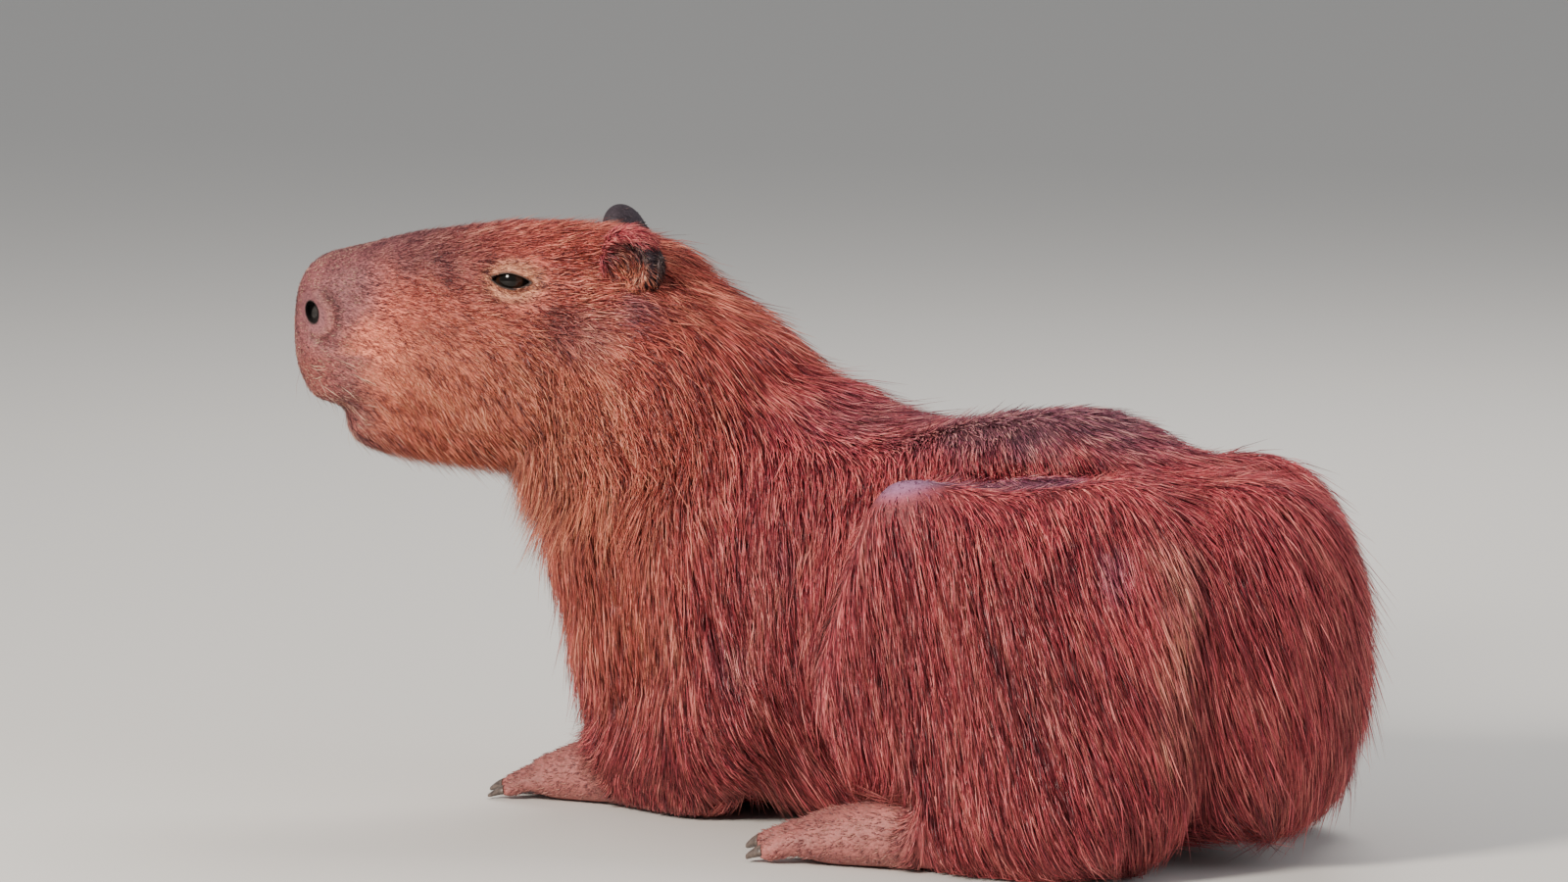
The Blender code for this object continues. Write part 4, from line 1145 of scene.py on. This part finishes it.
def grow_coat(skin, ears, draw):
    """The sets of tufts on the skin; those of the head climb over the ears."""
    tree = tree_over([skin])
    climb = tree_over([skin, *ears])
    share = 1.0

    count = int(BODY_TUFTS * share)
    roots, up = draw_roots(skin.data, count, body_weight, draw)
    length = coat_length(roots) * draw.uniform(0.65, 1.3, count)
    stray = draw.random(count) < 0.06
    x, y, z = roots[:, 0], np.abs(roots[:, 1]), roots[:, 2]
    over_foot = ramp(z, 0.1, 0.055) * ramp(x, 0.19, 0.23) * ramp(y, 0.09, 0.12)
    belly = ramp(z, 0.075, 0.04) * ramp(y, 0.07, 0.1) * ramp(x, 0.01, 0.06) * ramp(x, 0.24, 0.19)
    lift = 0.07 + 0.18 * draw.random(count) ** 2 + 0.22 * stray + 0.1 * ramp(x, 0.4, 0.47)
    lift = length * (lift + 0.15 * over_foot + 0.3 * belly)
    grown = grow(tree, roots, up, length, lift, 0.07, 6, 0.18, draw)
    width = BODY_WIDTH * draw.uniform(0.65, 1.4, count)
    sets = [("body", roots, *grown, np.outer(width, (0.8, 1.0)), markings_with_painted_light(grown[0][1], roots))]

    count = int(HEAD_TUFTS * share)
    roots, up = draw_roots(skin.data, count, head_weight, draw)
    length = coat_length(roots) * draw.uniform(0.65, 1.3, count)
    stray = draw.random(count) < 0.08
    hx, _, hz = in_head(roots).T
    hang = ramp(hz, -0.058, -0.078) * ramp(hx, 0.03, 0.06) * head_share(roots)
    length = length * (1 + 0.35 * hang)
    lift = length * (0.1 + 0.2 * draw.random(count) ** 2 + 0.22 * stray + 0.45 * hang)
    grown = grow(climb, roots, up, length, lift, 0.2, 5, 0.22, draw)
    width = HEAD_WIDTH * (0.55 + 0.45 * ramp(hx, 0.04, 0.2)) * draw.uniform(0.7, 1.3, count)
    front = ramp(hx, 0.06, 0.03) * head_share(roots) * (draw.random(count) < 0.25)
    sets.append(("head", roots, *grown, np.outer(width, (0.85, 1.0)), blend(markings_with_painted_light(roots), PALE_HAIR, front * 0.5)))

    roots, up = draw_roots(skin.data, WHISKERS, whisker_weight, draw)
    length = draw.uniform(0.012, 0.026, WHISKERS)
    grown = grow(tree, roots, up, length, length * draw.uniform(0.3, 0.8, WHISKERS), 0.3, 1, 0, draw)
    sets.append(("whiskers", roots, *grown, np.full((WHISKERS, 2), WHISKER_WIDTH), np.tile(PALE_HAIR, (WHISKERS, 1))))
    return sets


def ear_parts(points, side):
    """Height on an ear, and shares of its cup, its rear edge and its front."""
    local = in_ear(points, side)
    x, y, z = local.T
    middle = (x / EAR_HALF[0]) ** 2 + (z / EAR_HALF[2]) ** 2
    cup = ramp(middle, 0.85, 0.5) * ramp(y, -0.008, -0.003)
    rear = ramp(x - 0.3 * z, 0.004, 0.014) * (1 - cup)
    front = ramp(x - 0.7 * z, 0.004, -0.01) * (1 - cup)
    if side > 0:
        front = front * ramp(z, 0.004, -0.01)
    return z, cup, rear, front


def grow_ear_hair(ear, side, draw):
    """Red-brown hairs over an ear's front and rim, orange ones in its cup and long dark ones behind."""
    tip_bare = 0.95 if side > 0 else 0.0

    def weight(points):
        z, cup, rear, front = ear_parts(points, side)
        bare = tip_bare * ramp(z, 0.0, 0.01)
        return ramp(z, -0.025, -0.014) * (0.35 + rear + 1.2 * front + 0.2 * cup) * (1 - bare) + 1e-9

    count = int(EAR_TUFTS * (1.0))
    roots, up = draw_roots(ear.data, count, weight, draw)
    z, cup, rear, front = ear_parts(roots, side)
    short = 1 - 0.5 * (side > 0)
    length = (0.005 + 0.0085 * cup + (0.013 * rear + 0.01 * front) * short) * draw.uniform(0.6, 1.3, count)
    lift = length * (0.1 + 0.15 * draw.random(count) + 0.25 * cup + 0.12 * rear + 0.2 * front)
    grown = grow(tree_over([ear]), roots, up, length, lift, 0.22, 5, 0.35, draw, lambda p, n: ear_lie(p, n, side))
    tint = np.tile(EAR_DARK, (count, 1))
    tint = blend(tint, ORANGE, cup * ramp(z, 0.01, -0.006) * 0.85)
    tint = blend(tint, PALE_HAIR, cup * (draw.random(count) < 0.1) * 0.8)
    tint = blend(tint, RED_BROWN, front * 0.95)
    width = HEAD_WIDTH * draw.uniform(0.7, 1.3, count)
    return (roots, *grown, np.outer(width, (0.85, 1.0)), tint)


def joined_sets(name, first, second):
    """One set out of two of the same make."""
    joined = [np.concatenate(pair, axis=-2) for pair in zip(first, second)]
    return (name, *joined)


def paint_skin(skin, where):
    """The markings on the skin, darker under the coat as painted shade between the tufts, with the dark rims of lids
    and nostrils and painted shade in the nostril openings.
    """
    tint = markings_with_painted_light(where) * (1 + 0.1 * blotches(where, 0.05, 4))[:, None]
    h = in_head(where)
    hx, hy, _ = h.T
    head = head_share(where)
    bare = np.maximum(foot_share(where), knee_share(where) * 0.8)
    bare = np.maximum(bare, head * (0.35 + 0.5 * ramp(hx, 0.1, 0.03)))
    # Painted shade: the skin under the coat is darkened, and bare skin keeps its tone.
    tint = tint * (UNDER_COAT * (1 - bare[:, None]) + bare[:, None])
    near_eye = head * (np.abs(hx - EYE_CENTRE[0]) < 0.03) * (hy > 0.03)
    tint = blend(tint, LID_BLACK, near_eye * ramp(lid_level(h), 1.75, 1.15))
    nostril = nostril_level(h)
    front = head * (hx < 0.05) * (hy > 0.01)
    tint = blend(tint, VIOLET_GREY * 0.75, front * ramp(nostril, 2.8, 1.2) * 0.7)
    # Painted shade: the inside of each nostril opening is painted near black.
    tint = blend(tint, NOSTRIL_BLACK, front * ramp(nostril, 1.12, 0.9))
    store_colour(skin.data, "tint", tint)


def drawn_out(where, way, times):
    """Places pressed together along a direction, so that a pattern on them is drawn out along it."""
    return where - (where @ way)[:, None] * way * (1 - 1 / times)


def store_comb(mesh, where):
    """Coordinates drawn out along the lie of the coat, for the fine streaks of short fur."""
    along_head = np.array(HEAD.to_3x3() @ Vector((0.93, 0.0, -0.36)))
    for name, way in (("comb_body", BODY_COMB), ("comb_head", along_head)):
        squeezed = drawn_out(where, way, STREAK)
        layer = mesh.attributes.new(name, "FLOAT_VECTOR", "POINT")
        layer.data.foreach_set("vector", squeezed.astype(np.float32).ravel())
    store_value(mesh, "head", head_share(where))
    store_value(mesh, "furred", 1 - np.maximum(foot_share(where), knee_share(where)))


def dress(obj, shift, material, slot, *replaced):
    """Moves a piece out of the design frame, gives it its material and body and hides the replaced nodes; the slot is
    not used.
    """
    obj.data.transform(Matrix.Translation(shift))
    obj.data.shade_smooth()
    obj.data.materials.append(material)
    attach(obj, "root")
    if replaced:
        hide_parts(*replaced)


def dress_tufts(sets, patches, ear_slot, shift, draw):
    """Cuts the sets of tufts into pieces and dresses them."""
    coat = coat_material()
    start = 0
    for label, roots, stations, ups, ways, widths, tint in sets:
        patch = patches[start:start + len(roots)]
        start += len(roots)
        if label != "ears":
            tint = tint * (1 + 0.14 * blotches(roots, 0.075, 3))[:, None]
        streaks = blotches(drawn_out(roots, BODY_COMB, TUFT_STREAK), 0.02, 9)
        pick = np.clip(draw.random(len(roots)) + 0.24 * streaks, 0, 1)
        pick = pick + (0.35 - 0.5 * pick) * foot_share(roots)
        order = np.argsort(roots[:, 0], kind="stable")
        parts = ceil(len(roots) * TUFT_TRIANGLES / PIECE_TRIANGLES)
        for number, chosen in enumerate(np.array_split(order, parts), 1):
            lines = ([part[chosen] for part in line] for line in (stations, ups, ways))
            piece = tuft_mesh(
                f"coat_{label}_{number}", *lines, widths[chosen], tint[chosen], pick[chosen], patch[chosen]
            )
            dress(piece, shift, coat, ear_slot if label == "ears" else "coat")


def main():
    eye_low, eye_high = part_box("eye_left")
    middle = (Vector(eye_low) + Vector(eye_high)) / 2
    shift = middle - HEAD @ Vector((EYE_CENTRE[0], -EYE_CENTRE[1], EYE_CENTRE[2]))
    draw = np.random.default_rng(SEED)
    slots = {entry["node"]: entry["material_slot"] for entry in frame["record"]["subparts"]}

    skin = build_skin()
    ears = {word: build_ear(f"ear_skin_{word}", side) for word, side in SIDES.items()}
    sets = grow_coat(skin, ears.values(), draw)
    sets.append(joined_sets("ears", *(grow_ear_hair(ears[word], side, draw) for word, side in SIDES.items())))
    patches = unwrap_places([skin, *ears.values()], np.concatenate([made[1] for made in sets]))
    dress_tufts(sets, patches, slots["ear_left"], shift, draw)

    skin_look, eye_look, claw_look = skin_material(), eye_material(), claw_material()
    where = coordinates(skin.data)
    paint_skin(skin, where)
    store_comb(skin.data, where)
    kinds = ("haunch", "foreleg", "hind_foot", "fore_foot")
    limbs = [f"{kind}_{word}" for kind in kinds for word in SIDES]
    dress(skin, shift, skin_look, "coat", "head", "neck", "torso", *limbs)
    for word, side in SIDES.items():
        dress(build_eye(f"eyeball_{word}", side), shift, eye_look, slots[f"eye_{word}"], f"eye_{word}")
        ear = ears[word]
        where = coordinates(ear.data)
        store_colour(ear.data, "tint", ear_tint(where, side))
        store_comb(ear.data, where)
        dress(ear, shift, skin_look, slots[f"ear_{word}"], f"ear_{word}")
        for kind, toes in (("hind", HIND_TOES), ("fore", FORE_TOES)):
            for number, toe in enumerate(toes, 1):
                node = f"claw_{kind}_{word}_{number}"
                made = claw(f"horn_{kind}_{word}_{number}", toe, side)
                dress(made, shift, claw_look, slots[node], node)
    set_stage(shift)


def set_stage(shift):
    """The floor, the photograph's camera and the soft lights."""
    grid = bmesh.new()
    bmesh.ops.create_grid(grid, x_segments=1, y_segments=1, size=12.0)
    floor = mesh_object("floor", grid)
    pale, shader = new_material("pale_floor")
    feed(pale, shader, {"Base Color": (0.62, 0.61, 0.59), "Roughness": 0.85})
    floor.data.materials.append(pale)

    scene = bpy.context.scene
    scene.world = bpy.data.worlds.new("studio")
    scene.world.use_nodes = True
    sky = scene.world.node_tree.nodes["Background"]
    sky.inputs["Color"].default_value = (0.93, 0.94, 0.96, 1.0)
    sky.inputs["Strength"].default_value = 0.45

    level = Vector((sin(VIEW_TURN), -cos(VIEW_TURN), 0.0))
    right = Vector((cos(VIEW_TURN), sin(VIEW_TURN), 0.0))
    back = level * cos(VIEW_TILT) + Vector((0.0, 0.0, sin(VIEW_TILT)))
    target = Vector((0.0, 0.0, VIEW_HEIGHT / cos(VIEW_TILT))) + shift
    camera_data = bpy.data.cameras.new("camera")
    camera_data.sensor_width = SENSOR
    camera_data.lens = SENSOR * VIEW_DISTANCE / (IMAGE_WIDTH * METRES_PER_PIXEL)
    scene.camera = place_looking("camera", camera_data, target + back * VIEW_DISTANCE, back)

    for name, (ahead, across_view, height), size, power, tone, glints in LIGHTS:
        light = bpy.data.lights.new(name, "AREA")
        light.size, light.energy, light.color = size, power, tone
        place = level * ahead + right * across_view + Vector((0, 0, height))
        place_looking(name, light, place, place - LIGHT_AIM).visible_glossy = glints


def place_looking(name, data, place, back):
    """A camera or lamp at a place, with its back in a given direction."""
    obj = bpy.data.objects.new(name, data)
    bpy.context.scene.collection.objects.link(obj)
    obj.location = place
    obj.rotation_mode = "QUATERNION"
    obj.rotation_quaternion = (-back).to_track_quat("-Z", "Y")
    return obj


main()
